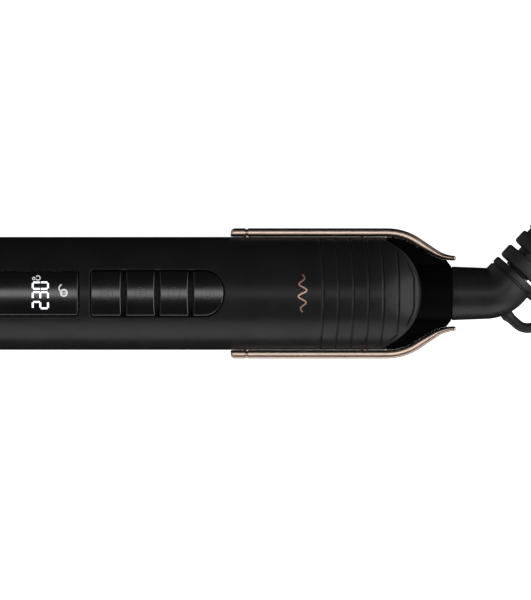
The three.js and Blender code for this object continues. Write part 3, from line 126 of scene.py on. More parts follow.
class Solid:
    """A closed mesh that is cut, joined and rounded before it becomes a piece."""

    def __init__(self, points: Array, faces: list[tuple[int, ...]]) -> None:
        """Makes the mesh.

        Args:
            points: One row per vertex, in millimetres.
            faces: The vertex numbers of each face.
        """
        mesh = bpy.data.meshes.new("work")
        mesh.from_pydata((np.asarray(points, float) * MM).tolist(), [], faces)
        self.object = bpy.data.objects.new("work", mesh)
        bpy.context.scene.collection.objects.link(self.object)
        self._clean()

    def _clean(self) -> None:
        """Welds points that coincide and turns every face outwards."""
        work = bmesh.new()
        work.from_mesh(self.object.data)
        bmesh.ops.remove_doubles(work, verts=work.verts, dist=WELD)
        bmesh.ops.dissolve_degenerate(work, edges=work.edges, dist=WELD)
        bmesh.ops.recalc_face_normals(work, faces=work.faces)
        work.to_mesh(self.object.data)
        work.free()

    def _bake(self) -> None:
        """Puts the result of the modifiers in place of the mesh."""
        graph = bpy.context.evaluated_depsgraph_get()
        baked = bpy.data.meshes.new_from_object(self.object.evaluated_get(graph))
        old = self.object.data
        self.object.modifiers.clear()
        self.object.data = baked
        bpy.data.meshes.remove(old)

    def _combine(self, how: Combine, tools: Sequence["Solid"]) -> "Solid":
        """Combines this solid with others, which are used up.

        Args:
            how: Cut, join or common.
            tools: The other solids.

        Returns:
            This solid.
        """
        for tool in tools:
            modifier = self.object.modifiers.new("combine", "BOOLEAN")
            modifier.operation = how.value
            modifier.solver = "EXACT"
            modifier.object = tool.object
        self._bake()
        for tool in tools:
            tool.discard()
        return self

    def cut(self, *tools: "Solid") -> "Solid":
        """Returns this solid less the others."""
        return self._combine(Combine.CUT, tools)

    def join(self, *tools: "Solid") -> "Solid":
        """Returns this solid with the others added."""
        return self._combine(Combine.JOIN, tools)

    def common(self, *tools: "Solid") -> "Solid":
        """Returns what this solid shares with the others."""
        return self._combine(Combine.COMMON, tools)

    def rounded(self, width: float, segments: int = 2, angle: float = 40.0) -> "Solid":
        """Rounds the edges that are sharper than an angle.

        Args:
            width: Width of the rounding in millimetres.
            segments: Steps across it.
            angle: The least angle in degrees.

        Returns:
            This solid.
        """
        modifier = self.object.modifiers.new("round", "BEVEL")
        modifier.width = width * MM
        modifier.segments = segments
        modifier.limit_method = "ANGLE"
        modifier.angle_limit = math.radians(angle)
        self._bake()
        return self

    def discard(self) -> None:
        """Removes the solid and its mesh."""
        mesh = self.object.data
        bpy.data.objects.remove(self.object)
        bpy.data.meshes.remove(mesh)


@dataclass
class MeshPile:
    """Closed shells gathered into one mesh."""

    points: list[Array] = field(default_factory=list)
    faces: list[tuple[int, ...]] = field(default_factory=list)
    count: int = 0

    def add(self, points: Array, faces: Iterable[tuple[int, ...]]) -> None:
        """Adds one shell with its own vertex numbers."""
        self.faces += [tuple(i + self.count for i in face) for face in faces]
        self.points.append(np.asarray(points, float))
        self.count += len(points)

    def solid(self) -> Solid:
        """Returns the shells as one solid."""
        return Solid(np.concatenate(self.points), self.faces)


def grid_faces(rows: int, columns: int, start: int = 0, wrap: bool = False) -> list[tuple[int, ...]]:
    """Faces of a grid of points held row by row.

    Args:
        rows: Number of rows.
        columns: Number of points in a row.
        start: Number of the first point.
        wrap: Whether each row closes on itself.

    Returns:
        Quads of vertex numbers.
    """
    across = columns if wrap else columns - 1
    faces = []
    for i in range(rows - 1):
        for j in range(across):
            k = (j + 1) % columns
            near, far = start + i * columns, start + (i + 1) * columns
            faces.append((near + j, near + k, far + k, far + j))
    return faces


def edge_of_grid(rows: int, columns: int) -> list[int]:
    """Numbers of the points round a grid's edge, in order."""
    edge = list(range(columns - 1))
    edge += [i * columns + columns - 1 for i in range(rows - 1)]
    edge += [(rows - 1) * columns + j for j in range(columns - 1, 0, -1)]
    edge += [i * columns for i in range(rows - 1, 0, -1)]
    return edge


def loop_faces(first: Sequence[int], second: Sequence[int]) -> list[tuple[int, ...]]:
    """Quads between two closed loops of equally many points."""
    n = len(first)
    return [(first[i], first[(i + 1) % n], second[(i + 1) % n], second[i]) for i in range(n)]


def stacked(sheets: Sequence[Array]) -> Solid:
    """A solid whose underside and top are grids and whose wall runs through the edges of the grids between.

    Args:
        sheets: Grids of points, shaped (rows, columns, 3), from the underside up.

    Returns:
        The solid.
    """
    rows, columns = sheets[0].shape[:2]
    edge = edge_of_grid(rows, columns)
    size = rows * columns
    points = [sheets[0].reshape(-1, 3), sheets[-1].reshape(-1, 3)]
    faces = grid_faces(rows, columns) + grid_faces(rows, columns, size)
    loops = [edge]
    start = 2 * size
    for sheet in sheets[1:-1]:
        points.append(sheet.reshape(-1, 3)[edge])
        loops.append(list(range(start, start + len(edge))))
        start += len(edge)
    loops.append([size + i for i in edge])
    for lower, upper in zip(loops, loops[1:]):
        faces += loop_faces(lower, upper)
    return Solid(np.concatenate(points), faces)


def rings(loops: Sequence[Array], closed: bool = False) -> Solid:
    """A solid skinned over loops of equally many points.

    Args:
        loops: The loops in order, each shaped (points, 3).
        closed: Whether the last loop meets the first, as in a ring; otherwise both ends get a flat face.

    Returns:
        The solid.
    """
    n = len(loops[0])
    faces = grid_faces(len(loops), n, wrap=True)
    if closed:
        last = (len(loops) - 1) * n
        faces += loop_faces(list(range(last, last + n)), list(range(n)))
    else:
        faces.append(tuple(range(n)))
        faces.append(tuple((len(loops) - 1) * n + i for i in range(n)))
    return Solid(np.concatenate(loops), faces)


def arc(centre: tuple[float, float], radius: float, start: float, end: float, steps: int) -> Flat:
    """Points on an arc.

    Args:
        centre: Its centre.
        radius: Its radius.
        start: First angle in degrees.
        end: Last angle in degrees.
        steps: Number of steps between.

    Returns:
        The points, both ends included.
    """
    turns = [math.radians(start + (end - start) * i / steps) for i in range(steps + 1)]
    return [(centre[0] + radius * math.cos(t), centre[1] + radius * math.sin(t)) for t in turns]


def quarter(radius: float, steps: int = 3) -> Flat:
    """A quarter round at a turned edge, as steps (along, inwards) from the end to the outside."""
    turns = np.radians(np.linspace(0, 90, steps + 1))
    return [(radius * (1 - math.cos(a)), radius * (1 - math.sin(a))) for a in turns]


def rounded_box(half_x: float, half_y: float, corner: float, steps: int = 4) -> Flat:
    """A rectangle about the origin with round corners, anticlockwise."""
    x, y = half_x - corner, half_y - corner
    points = arc((x, y), corner, 0, 90, steps) + arc((-x, y), corner, 90, 180, steps)
    return points + arc((-x, -y), corner, 180, 270, steps) + arc((x, -y), corner, 270, 360, steps)


def along(direction: Vector, origin: Sequence[float]) -> Matrix:
    """A placing that turns +X to a direction and moves the origin to a point, in millimetres."""
    turn = direction.to_track_quat("X", "Z").to_matrix().to_4x4()
    return Matrix.Translation(Vector(origin)) @ turn


def placed(points: Array, matrix: Matrix | None) -> Array:
    """Points moved by a matrix, or as they are without one."""
    if matrix is None:
        return points
    m = np.array(matrix)
    return points @ m[:3, :3].T + m[:3, 3]


def turned(profile: Flat, segments: int = 64, place: Matrix | None = None) -> Solid:
    """A profile turned round the X axis.

    Args:
        profile: Points (x, radius). A first point equal to the last one closes it on itself.
        segments: Steps round the axis.
        place: Where the result goes.

    Returns:
        The solid.
    """
    closed = profile[0] == profile[-1]
    kept = profile[:-1] if closed else profile
    turns = np.linspace(0, 2 * math.pi, segments, endpoint=False)
    loops = []
    for x, radius in kept:
        ring = np.stack([np.full(segments, x), radius * np.cos(turns), radius * np.sin(turns)], axis=1)
        loops.append(placed(ring, place))
    return rings(loops, closed)


def rod(start: Sequence[float], end: Sequence[float], radius: float, segments: int = 32) -> Solid:
    """A plain round bar between two points."""
    way = Vector(end) - Vector(start)
    return turned([(0, radius), (way.length, radius)], segments, along(way, start))


def prism(outline: Flat, low: float, high: float, place: Matrix | None = None) -> Solid:
    """An outline in X and Y, extruded from one height to another."""
    loops = [placed(np.array([(x, y, z) for x, y in outline]), place) for z in (low, high)]
    return rings(loops)


def block(low: Sequence[float], high: Sequence[float]) -> Solid:
    """A box between two corners."""
    outline = [(low[0], low[1]), (high[0], low[1]), (high[0], high[1]), (low[0], high[1])]
    return prism(outline, low[2], high[2])


def smooth_corners(corners: Sequence[Sequence[float]], reach: float, steps: int = 6) -> Array:
    """A path with its corners rounded off.

    Args:
        corners: The path's points.
        reach: How far from each corner the rounding starts, at most 0.45 of the shorter leg.
        steps: Steps round each corner.

    Returns:
        The points of the new path.
    """
    given = [np.array(p, float) for p in corners]
    path = [given[0]]
    for before, corner, after in zip(given, given[1:], given[2:]):
        back, ahead = before - corner, after - corner
        cut = min(reach, 0.45 * np.linalg.norm(back), 0.45 * np.linalg.norm(ahead))
        start = corner + back / np.linalg.norm(back) * cut
        end = corner + ahead / np.linalg.norm(ahead) * cut
        for t in np.linspace(0, 1, steps + 1):
            path.append((1 - t) ** 2 * start + 2 * t * (1 - t) * corner + t**2 * end)
    path.append(given[-1])
    return np.array(path)


def headings(path: Array, closed: bool = False) -> Array:
    """Unit directions along a path.

    Args:
        path: The path's points.
        closed: Whether its ends meet.

    Returns:
        One direction for each point.
    """
    if closed:
        ahead = np.roll(path, -1, axis=0) - np.roll(path, 1, axis=0)
    else:
        ahead = np.gradient(path, axis=0)
    return ahead / np.linalg.norm(ahead, axis=1, keepdims=True)


def directions(path: Array) -> tuple[Array, Array]:
    """Side and up directions along a path, carried along it without twist.

    Args:
        path: The path's points.

    Returns:
        The side directions and the up directions, one row per point.
    """
    tangents = headings(path)
    helper = np.array([0.0, 0.0, 1.0]) if abs(tangents[0][2]) < 0.9 else np.array([0.0, 1.0, 0.0])
    side = np.cross(helper, tangents[0])
    sides, ups = [], []
    for tangent in tangents:
        side = side - tangent * side.dot(tangent)
        side = side / np.linalg.norm(side)
        sides.append(side)
        ups.append(np.cross(tangent, side))
    return np.array(sides), np.array(ups)


def wire(path: Array, radii: Array, sides: int) -> Solid:
    """A round wire along a path.

    Args:
        path: The points of its centre line.
        radii: A radius for each point.
        sides: Steps round the wire.

    Returns:
        The solid.
    """
    side, up = directions(path)
    turns = np.linspace(0, 2 * math.pi, sides, endpoint=False)
    ring = np.cos(turns)[:, None, None] * side + np.sin(turns)[:, None, None] * up
    loops = path + ring * radii[:, None]
    return rings([loops[:, i] for i in range(len(path))])


def round_tipped(path: Array, radius: float, steps: int = 4) -> tuple[Array, Array]:
    """A path with radii that round off both of its ends.

    Args:
        path: The points of a wire's centre line.
        radius: The wire's radius.
        steps: Steps in each rounding.

    Returns:
        The longer path and a radius for each of its points.
    """
    def cap(end: Array, inward: Array) -> tuple[list[Array], list[float]]:
        """Points from the tip inwards, with their radii."""
        unit = (inward - end) / np.linalg.norm(inward - end)
        turns = [math.pi / 2 * i / steps for i in range(steps)]
        points = [end - unit * radius * math.cos(t) for t in turns]
        return points, [max(radius * math.sin(t), 0.04 * radius) for t in turns]

    head, head_radii = cap(path[0], path[1])
    tail, tail_radii = cap(path[-1], path[-2])
    whole = np.array([*head, *path, *tail[::-1]])
    return whole, np.array([*head_radii, *[radius] * len(path), *tail_radii[::-1]])


# --- Places that the sub-assemblies share ---


def box_mm(node: str) -> tuple[Array, Array]:
    """A node's lowest and highest corners in millimetres."""
    low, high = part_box(node)
    return np.array(low) / MM, np.array(high) / MM


def middle_x(node: str) -> float:
    """Place along X of the middle of a node's box, in millimetres."""
    low, high = box_mm(node)
    return float(low[0] + high[0]) / 2


def pivot_mm(joint: str) -> Array:
    """A joint's place in millimetres."""
    return np.array(next(j for j in frame["joints"] if j["name"] == joint)["pos_m"]) / MM


@dataclass(frozen=True)
class Layout:
    """Sizes and places of the handle, in millimetres, read from the frame."""

    radius: float
    axis_z: float
    front: float
    nose_end: float
    seam_top: float
    seam_bottom: float
    tail_front: float
    tail_end: float

    @classmethod
    def from_frame(cls) -> "Layout":
        """Reads the sizes from the boxes of the housings and the tail."""
        upper_low, upper_high = box_mm("upper_housing")
        lower_high = box_mm("lower_housing")[1]
        tail_low, tail_high = box_mm("tail_cap")
        radius = upper_high[1]
        return cls(
            radius=radius,
            axis_z=upper_high[2] - radius,
            front=upper_low[0],
            nose_end=upper_high[0],
            seam_top=upper_low[2],
            seam_bottom=lower_high[2],
            tail_front=tail_low[0],
            tail_end=tail_high[0],
        )

    @property
    def nose_centre(self) -> float:
        """Place along X of the nose's centre in plan."""
        return self.nose_end - self.radius

    def height(self, y: Array, radius: Array | float) -> Array:
        """Height above the ground of a round surface on the axis, over the places y."""
        return self.axis_z + np.sqrt(np.maximum(np.asarray(radius) ** 2 - np.asarray(y) ** 2, 0.0))

    def at_axis(self, x: float, y: float = 0.0, rise: float = 0.0) -> tuple[float, float, float]:
        """A point by its place along X, its place across and its rise above the axis."""
        return (x, y, self.axis_z + rise)

    def lathe(self, profile: Flat, segments: int = 96) -> Solid:
        """A profile (x, radius) turned round the handle's axis."""
        return turned(profile, segments, Matrix.Translation((0, 0, self.axis_z)))


@dataclass(frozen=True)
class SkinShape:
    """An outline on the handle's skin, as seen from above."""

    front: float
    back: float
    half_width: float
    front_end: End = End.SQUARE
    back_end: End = End.SQUARE
    corner: float = 1.0
    reach: float = 6.5
    hollow: float = 0.35

    def _inset(self, end: End, turn: Array, margin: float) -> Array:
        """How far the outline lies inside its foremost line at one end.

        Args:
            end: The end's form.
            turn: The rows' angles, -90 to 90 degrees across the outline, in radians.
            margin: How much the outline is grown.

        Returns:
            The inset of each row.
        """
        half = self.half_width + margin
        if end is End.ROUND:
            return (self.reach + margin) * (1 - np.cos(turn))
        corner = max(self.corner + margin, 0.1)
        past = np.clip(np.abs(half * np.sin(turn)) - (half - corner), 0, corner)
        inset = corner - np.sqrt(corner**2 - past**2)
        return inset + self.hollow * np.cos(turn) if end is End.HOLLOW else inset

    def plan(self, margin: float, rows: int, columns: int) -> tuple[Array, Array]:
        """A grid of places over the outline.

        Args:
            margin: How much the outline is grown on every side.
            rows: Number of rows across it.
            columns: Number of places along each row.

        Returns:
            The places along X and across, both shaped (rows, columns).
        """
        turn = np.linspace(-math.pi / 2, math.pi / 2, rows)
        first = self.front - margin + self._inset(self.front_end, turn, margin)
        last = self.back + margin - self._inset(self.back_end, turn, margin)
        share = np.linspace(0, 1, columns)
        x = first[:, None] + (last - first)[:, None] * share
        y = np.broadcast_to(((self.half_width + margin) * np.sin(turn))[:, None], x.shape)
        return x, y

    def solid(
        self, layout: Layout, levels: Sequence[tuple[float, float]], rows: int = 49, columns: int = 25
    ) -> Solid:
        """A curved plate with this outline.

        Args:
            layout: The handle's places.
            levels: (radius, margin) of the wall's steps, from the underside to the top.
            rows: Rows of the grid.
            columns: Columns of the grid.

        Returns:
            The solid.
        """
        sheets = []
        for radius, margin in levels:
            x, y = self.plan(margin, rows, columns)
            sheets.append(np.stack([x, y, layout.height(y, radius)], axis=2))
        return stacked(sheets)


@dataclass
class SkinPrint:
    """Thin raised lines that follow a round surface."""

    layout: Layout
    radius: float
    thickness: float = 0.05
    step: float = 0.35
    pile: MeshPile = field(default_factory=MeshPile)

    def line(self, points: Sequence[Sequence[float]], width: float, closed: bool = False) -> None:
        """Adds one line.

        Args:
            points: Places (x, y) along its middle.
            width: Its width in millimetres.
            closed: Whether its ends meet.
        """
        path = self._dense(np.array(points, float), closed)
        ahead = headings(path, closed)
        left = np.stack([-ahead[:, 1], ahead[:, 0]], axis=1) * width / 2
        corners = []
        for offset, rise in ((left, 0.0), (left, 1.0), (-left, 1.0), (-left, 0.0)):
            flat = path + offset
            z = self.layout.height(flat[:, 1], self.radius + (rise - 0.5) * self.thickness)
            corners.append(np.column_stack([flat, z]))
        n = len(path)
        points3 = np.stack(corners, axis=1).reshape(-1, 3)
        faces = grid_faces(n, 4, wrap=True)
        if closed:
            faces += loop_faces(list(range(4 * n - 4, 4 * n)), [0, 1, 2, 3])
        else:
            faces += [(0, 1, 2, 3), (4 * n - 4, 4 * n - 3, 4 * n - 2, 4 * n - 1)]
        self.pile.add(points3, faces)

    def _dense(self, path: Array, closed: bool) -> Array:
        """The same path with points at most one step apart."""
        ends = np.vstack([path, path[:1]]) if closed else path
        dense = []
        for a, b in zip(ends, ends[1:]):
            count = max(1, math.ceil(np.linalg.norm(b - a) / self.step))
            dense += [a + (b - a) * i / count for i in range(count)]
        if not closed:
            dense.append(ends[-1])
        return np.array(dense)

    def circle(self, x: float, y: float, radius: float, width: float) -> None:
        """Adds a ring."""
        self.line(arc((x, y), radius, 0, 360, 32)[:-1], width, closed=True)

    def solid(self) -> Solid:
        """Returns all lines as one solid."""
        return self.pile.solid()


# --- Finishes ---


class NodeGraph:
    """A material's node tree round one Principled shader."""

    def __init__(self, name: str) -> None:
        """Makes the material and its shader."""
        self.material = bpy.data.materials.new(name)
        self.material.use_nodes = True
        self.tree = self.material.node_tree
        self.tree.nodes.clear()
        output = self.node("ShaderNodeOutputMaterial")
        self.shader = self.node("ShaderNodeBsdfPrincipled")
        self.place = self.node("ShaderNodeTexCoord").outputs["Object"]
        self.tree.links.new(self.shader.outputs["BSDF"], output.inputs["Surface"])

    def node(self, kind: str) -> bpy.types.Node:
        """Returns a new node."""
        return self.tree.nodes.new(kind)

    def link(self, source: bpy.types.NodeSocket, target: bpy.types.NodeSocket) -> None:
        """Links an output to an input."""
        self.tree.links.new(source, target)

    def set(self, socket: str, value: float | Colour) -> None:
        """Sets one of the shader's own sockets to a plain value."""
        colour = isinstance(value, tuple)
        self.shader.inputs[socket].default_value = (*value, 1.0) if colour else value

    def drive(self, socket: str, source: bpy.types.NodeSocket) -> None:
        """Links a node's output to one of the shader's sockets."""
        self.link(source, self.shader.inputs[socket])

    def stretched(self, stretch: tuple[float, float, float]) -> bpy.types.NodeSocket:
        """Returns object coordinates stretched along each axis."""
        mapping = self.node("ShaderNodeMapping")
        mapping.inputs["Scale"].default_value = tuple(1 / s for s in stretch)
        self.link(self.place, mapping.inputs["Vector"])
        return mapping.outputs["Vector"]

    def noise(
        self, size: float, detail: float = 3.0, stretch: tuple[float, float, float] = (1, 1, 1)
    ) -> bpy.types.NodeSocket:
        """A cloudy pattern.

        Args:
            size: Size of its clouds in millimetres.
            detail: How many finer octaves it has.
            stretch: How much longer they are along each axis.

        Returns:
            The socket that holds its value, 0 to 1.
        """
        texture = self.node("ShaderNodeTexNoise")
        texture.inputs["Scale"].default_value = 1 / (size * MM)
        texture.inputs["Detail"].default_value = detail
        self.link(self.stretched(stretch), texture.inputs["Vector"])
        return texture.outputs["Fac"]

    def cells(self, size: float) -> bpy.types.NodeSocket:
        """Returns the distance to the middle of cells of a size in millimetres."""
        texture = self.node("ShaderNodeTexVoronoi")
        texture.inputs["Scale"].default_value = 1 / (size * MM)
        self.link(self.place, texture.inputs["Vector"])
        return texture.outputs["Distance"]

    def span(
        self, value: bpy.types.NodeSocket, low: float, high: float, start: float = 0.3, end: float = 0.7
    ) -> bpy.types.NodeSocket:
        """A value brought from one range to another.

        Args:
            value: The value.
            low: The least result.
            high: The greatest result.
            start: The value that gives the least result.
            end: The value that gives the greatest result.

        Returns:
            The socket that holds the result.
        """
        mapped = self.node("ShaderNodeMapRange")
        for socket, number in (("From Min", start), ("From Max", end), ("To Min", low), ("To Max", high)):
            mapped.inputs[socket].default_value = number
        self.link(value, mapped.inputs["Value"])
        return mapped.outputs["Result"]

    def blend(self, share: bpy.types.NodeSocket, first: Colour, second: Colour) -> bpy.types.NodeSocket:
        """Returns a colour between two, by a share from 0 to 1."""
        mix = self.node("ShaderNodeMix")
        mix.data_type = "RGBA"
        self.link(share, mix.inputs[0])
        for name, colour in (("A", first), ("B", second)):
            for socket in mix.inputs:
                if socket.name == name and socket.type == "RGBA":
                    socket.default_value = (*colour, 1.0)
        return next(s for s in mix.outputs if s.type == "RGBA")

    def emboss(self, height: bpy.types.NodeSocket, depth: float) -> None:
        """Lets a pattern stand proud of the surface.

        Args:
            height: The pattern, 0 to 1.
            depth: Its height in millimetres.
        """
        bump = self.node("ShaderNodeBump")
        bump.inputs["Distance"].default_value = depth * MM
        bump.inputs["Strength"].default_value = 1.0
        self.link(height, bump.inputs["Height"])
        self.drive("Normal", bump.outputs["Normal"])


def shade_of(colour: Colour, factor: float) -> Colour:
    """Returns a lighter or darker colour."""
    return tuple(min(1.0, c * factor) for c in colour)


@dataclass(frozen=True)
class Plastic:
    """Moulded or painted plastic or rubber with a fine grain."""

    name: str
    colour: Colour
    roughness: float
    shine: float
    grain: float = 0.35
    depth: float = 0.003
    cloud: float = 16.0
    spread: float = 0.05
    coat: float = 0.0
    coat_roughness: float = 0.08

    def material(self) -> bpy.types.Material:
        """Returns the material: cloudy roughness and tone, and the grain as a bump."""
        graph = NodeGraph(self.name)
        tone = graph.span(graph.noise(self.cloud), 0, 1)
        dark, light = shade_of(self.colour, 0.85), shade_of(self.colour, 1.15)
        graph.drive("Base Color", graph.blend(tone, dark, light))
        patch = graph.noise(self.cloud / 3, 5.0)
        low, high = self.roughness - self.spread, self.roughness + self.spread
        graph.drive("Roughness", graph.span(patch, low, high))
        graph.set("Specular IOR Level", self.shine)
        graph.set("Coat Weight", self.coat)
        graph.set("Coat Roughness", self.coat_roughness)
        graph.emboss(graph.noise(self.grain, 2.0), self.depth)
        return graph.material


@dataclass(frozen=True)
class Metal:
    """Plated, drawn or brushed metal with fine lines along one axis."""

    name: str
    colour: Colour
    roughness: float
    stretch: tuple[float, float, float] = (40, 1, 1)
    line: float = 0.12
    depth: float = 0.001
    spread: float = 0.04
    dull: float = 0.93

    def material(self) -> bpy.types.Material:
        """Returns the material: drawn lines in roughness and bump, and a slow change of tone."""
        graph = NodeGraph(self.name)
        tone = graph.span(graph.noise(9.0), 0, 1)
        graph.drive("Base Color", graph.blend(tone, shade_of(self.colour, self.dull), self.colour))
        lines = graph.noise(self.line, 2.0, self.stretch)
        low, high = self.roughness - self.spread, self.roughness + self.spread
        graph.drive("Roughness", graph.span(lines, low, high))
        graph.set("Metallic", 1.0)
        graph.emboss(lines, self.depth)
        return graph.material


@dataclass(frozen=True)
class SpeckledCoat:
    """A satin ceramic coating with fine metal flakes."""

    name: str
    colour: Colour
    flake: Colour
    roughness: float
    size: float = 0.22

    def material(self) -> bpy.types.Material:
        """Returns the material: flakes in tone over a satin ground with a faint wave."""
        graph = NodeGraph(self.name)
        flakes = graph.span(graph.cells(self.size), 1, 0, 0.08, 0.22)
        graph.drive("Base Color", graph.blend(flakes, self.colour, self.flake))
        low, high = self.roughness - 0.04, self.roughness + 0.05
        graph.drive("Roughness", graph.span(graph.noise(7.0, 4.0), low, high))
        graph.set("Metallic", 0.55)
        graph.set("Specular IOR Level", 0.5)
        graph.emboss(graph.noise(0.5, 3.0), 0.002)
        return graph.material


@dataclass(frozen=True)
class SolderMask:
    """A circuit board's green mask with tracks under it and bare pads."""

    name: str
    mask: Colour = (0.012, 0.09, 0.035)
    track: Colour = (0.03, 0.16, 0.07)

    def material(self) -> bpy.types.Material:
        """Returns the material: bands of tracks and round pads."""
        graph = NodeGraph(self.name)
        wave = graph.node("ShaderNodeTexWave")
        wave.inputs["Scale"].default_value = 1 / (9.0 * MM)
        wave.inputs["Distortion"].default_value = 6.0
        graph.link(graph.place, wave.inputs["Vector"])
        tracks = graph.span(wave.outputs["Fac"], 0, 1, 0.72, 0.78)
        graph.drive("Base Color", graph.blend(tracks, self.mask, self.track))
        graph.drive("Roughness", graph.span(graph.noise(2.0), 0.28, 0.4))
        graph.emboss(tracks, 0.03)
        return graph.material


@dataclass(frozen=True)
class Glow:
    """A lit segment behind dark glass."""

    name: str
    colour: Colour
    strength: float

    def material(self) -> bpy.types.Material:
        """Returns the material: an even glow with a faint grain of the diffuser."""
        graph = NodeGraph(self.name)
        grain = graph.span(graph.noise(0.6), 0, 1)
        lit = graph.blend(grain, shade_of(self.colour, 0.92), self.colour)
        graph.drive("Emission Color", lit)
        graph.drive("Base Color", lit)
        graph.set("Emission Strength", self.strength)
        graph.set("Roughness", 0.4)
        return graph.material


FINISHES = {
    "soft_touch": Plastic("soft_touch_paint", (0.0115, 0.0115, 0.0119), 0.32, 0.2, depth=0.002),
    # The tail's finish is the soft-touch paint made far darker: the dark colour is painted shade for the low deck
    # and boss, while the duller sheen is the plastic's own.
    "tail_plastic_painted_shade": Plastic("tail_plastic_painted_shade", (0.0016, 0.0016, 0.0018), 0.5, 0.02),
    "piano_black": Plastic("piano_black", (0.001, 0.001, 0.0013), 0.22, 1.0, 30.0, 0.003, 25.0, 0.02),
    "elbow_satin": Plastic("satin_elbow_plastic", (0.008, 0.008, 0.0083), 0.4, 0.32, 0.5, 0.003),
    "rubber": Plastic("matt_rubber", (0.009, 0.009, 0.0092), 0.5, 0.35, 0.3, 0.004),
    "print_grey": Plastic("faint_print", (0.045, 0.045, 0.048), 0.35, 0.5, 0.3, 0.001),
    "component": Plastic("component_plastic", (0.006, 0.006, 0.007), 0.5, 0.3, 0.5, 0.01),
    "ceramic": Plastic("fired_ceramic", (0.78, 0.76, 0.7), 0.55, 0.4, 0.4, 0.01, 6.0, 0.08),
    "silicone": Plastic("silicone_lead", (0.36, 0.07, 0.05), 0.42, 0.4, 0.6, 0.006, 5.0, 0.05),
    "rose_gold": Metal("rose_gold_plating", (0.54, 0.42, 0.345), 0.24),
    "rose_print": Metal("rose_gold_foil", (0.62, 0.39, 0.30), 0.42, (1, 1, 1), 0.3),
    "steel": Metal("brushed_steel", (0.56, 0.56, 0.58), 0.3, (30, 1, 1), 0.15, 0.002, 0.07),
    "brass": Metal("drawn_brass", (0.72, 0.5, 0.2), 0.28, (1, 20, 20), 0.2, 0.002, 0.06),
    "aluminium": Metal("extruded_aluminium", (0.62, 0.63, 0.65), 0.38, (60, 1, 1), 0.2, 0.003, 0.07),
    "barrel_coat": SpeckledCoat("barrel_coat", (0.03, 0.03, 0.033), (0.11, 0.11, 0.12), 0.3),
    "blade_coat": SpeckledCoat("blade_coat", (0.036, 0.036, 0.039), (0.12, 0.12, 0.13), 0.27, 0.3),
    "board": SolderMask("solder_mask"),
    "glow": Glow("display_glow", (0.86, 0.88, 0.92), 1.0),
    "glow_dim": Glow("display_glow_dim", (0.5, 0.5, 0.52), 0.8),
}

SLOT_FINISHES = {
    Slot.GLOSS_BLACK: "piano_black",
    Slot.ELBOW_BLACK: "elbow_satin",
    Slot.BLACK_RUBBER: "rubber",
    Slot.LEAD: "silicone",
}  # every other slot's finish has the slot's own name


class Bench:
    """Turns solids into pieces of the iron and keeps the materials."""

    def __init__(self) -> None:
        """Starts with no material made."""
        self.materials: dict[str, bpy.types.Material] = {}

    def material(self, finish: str) -> bpy.types.Material:
        """Returns a finish's material, made the first time it is asked for."""
        if finish not in self.materials:
            self.materials[finish] = FINISHES[finish].material()
        return self.materials[finish]

    def _dress(self, piece: bpy.types.Object, slot: Slot, finish: str = "") -> None:
        """Gives an object one finish, or its slot's own."""
        piece.data.materials.clear()
        piece.data.materials.append(self.material(finish or SLOT_FINISHES.get(slot, slot.value)))

    def fit(
        self,
        solid: Solid,
        name: str,
        body: Body,
        slot: Slot,
        finish: str = "",
        replaces: Sequence[str] = (),
        smooth: float = 32.0,
    ) -> bpy.types.Object:
        """Names, dresses and mounts one piece.

        Args:
            solid: Its mesh.
            name: Its name.
            body: The body that it rides on.
            slot: The material slot that it takes its finish from.
            finish: The name of its finish, or nothing for the slot's own.
            replaces: The frame's nodes that it stands for.
            smooth: Edges under this angle, in degrees, are shaded smooth.

        Returns:
            The piece.
        """
        piece = solid.object
        piece.name = name
        piece.data.name = name
        piece.data.shade_smooth()
        piece.data.set_sharp_from_angle(angle=math.radians(smooth))
        self._dress(piece, slot, finish)
        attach(piece, body.value)
        if replaces:
            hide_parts(*replaces)
        log.info("%s: %d faces on %s", name, len(piece.data.polygons), body.value)
        return piece

    def dress_nodes(self) -> None:
        """Gives every frame node that is still shown its procedural material."""
        slots = {part["node"]: part["material_slot"] for part in frame["record"]["subparts"]}
        for name, node in frame["nodes"].items():
            if node.hide_render:
                continue
            self._dress(node, Slot(slots[name]))
            log.info("%s: frame node in %s", name, slots[name])


# --- Handle ---


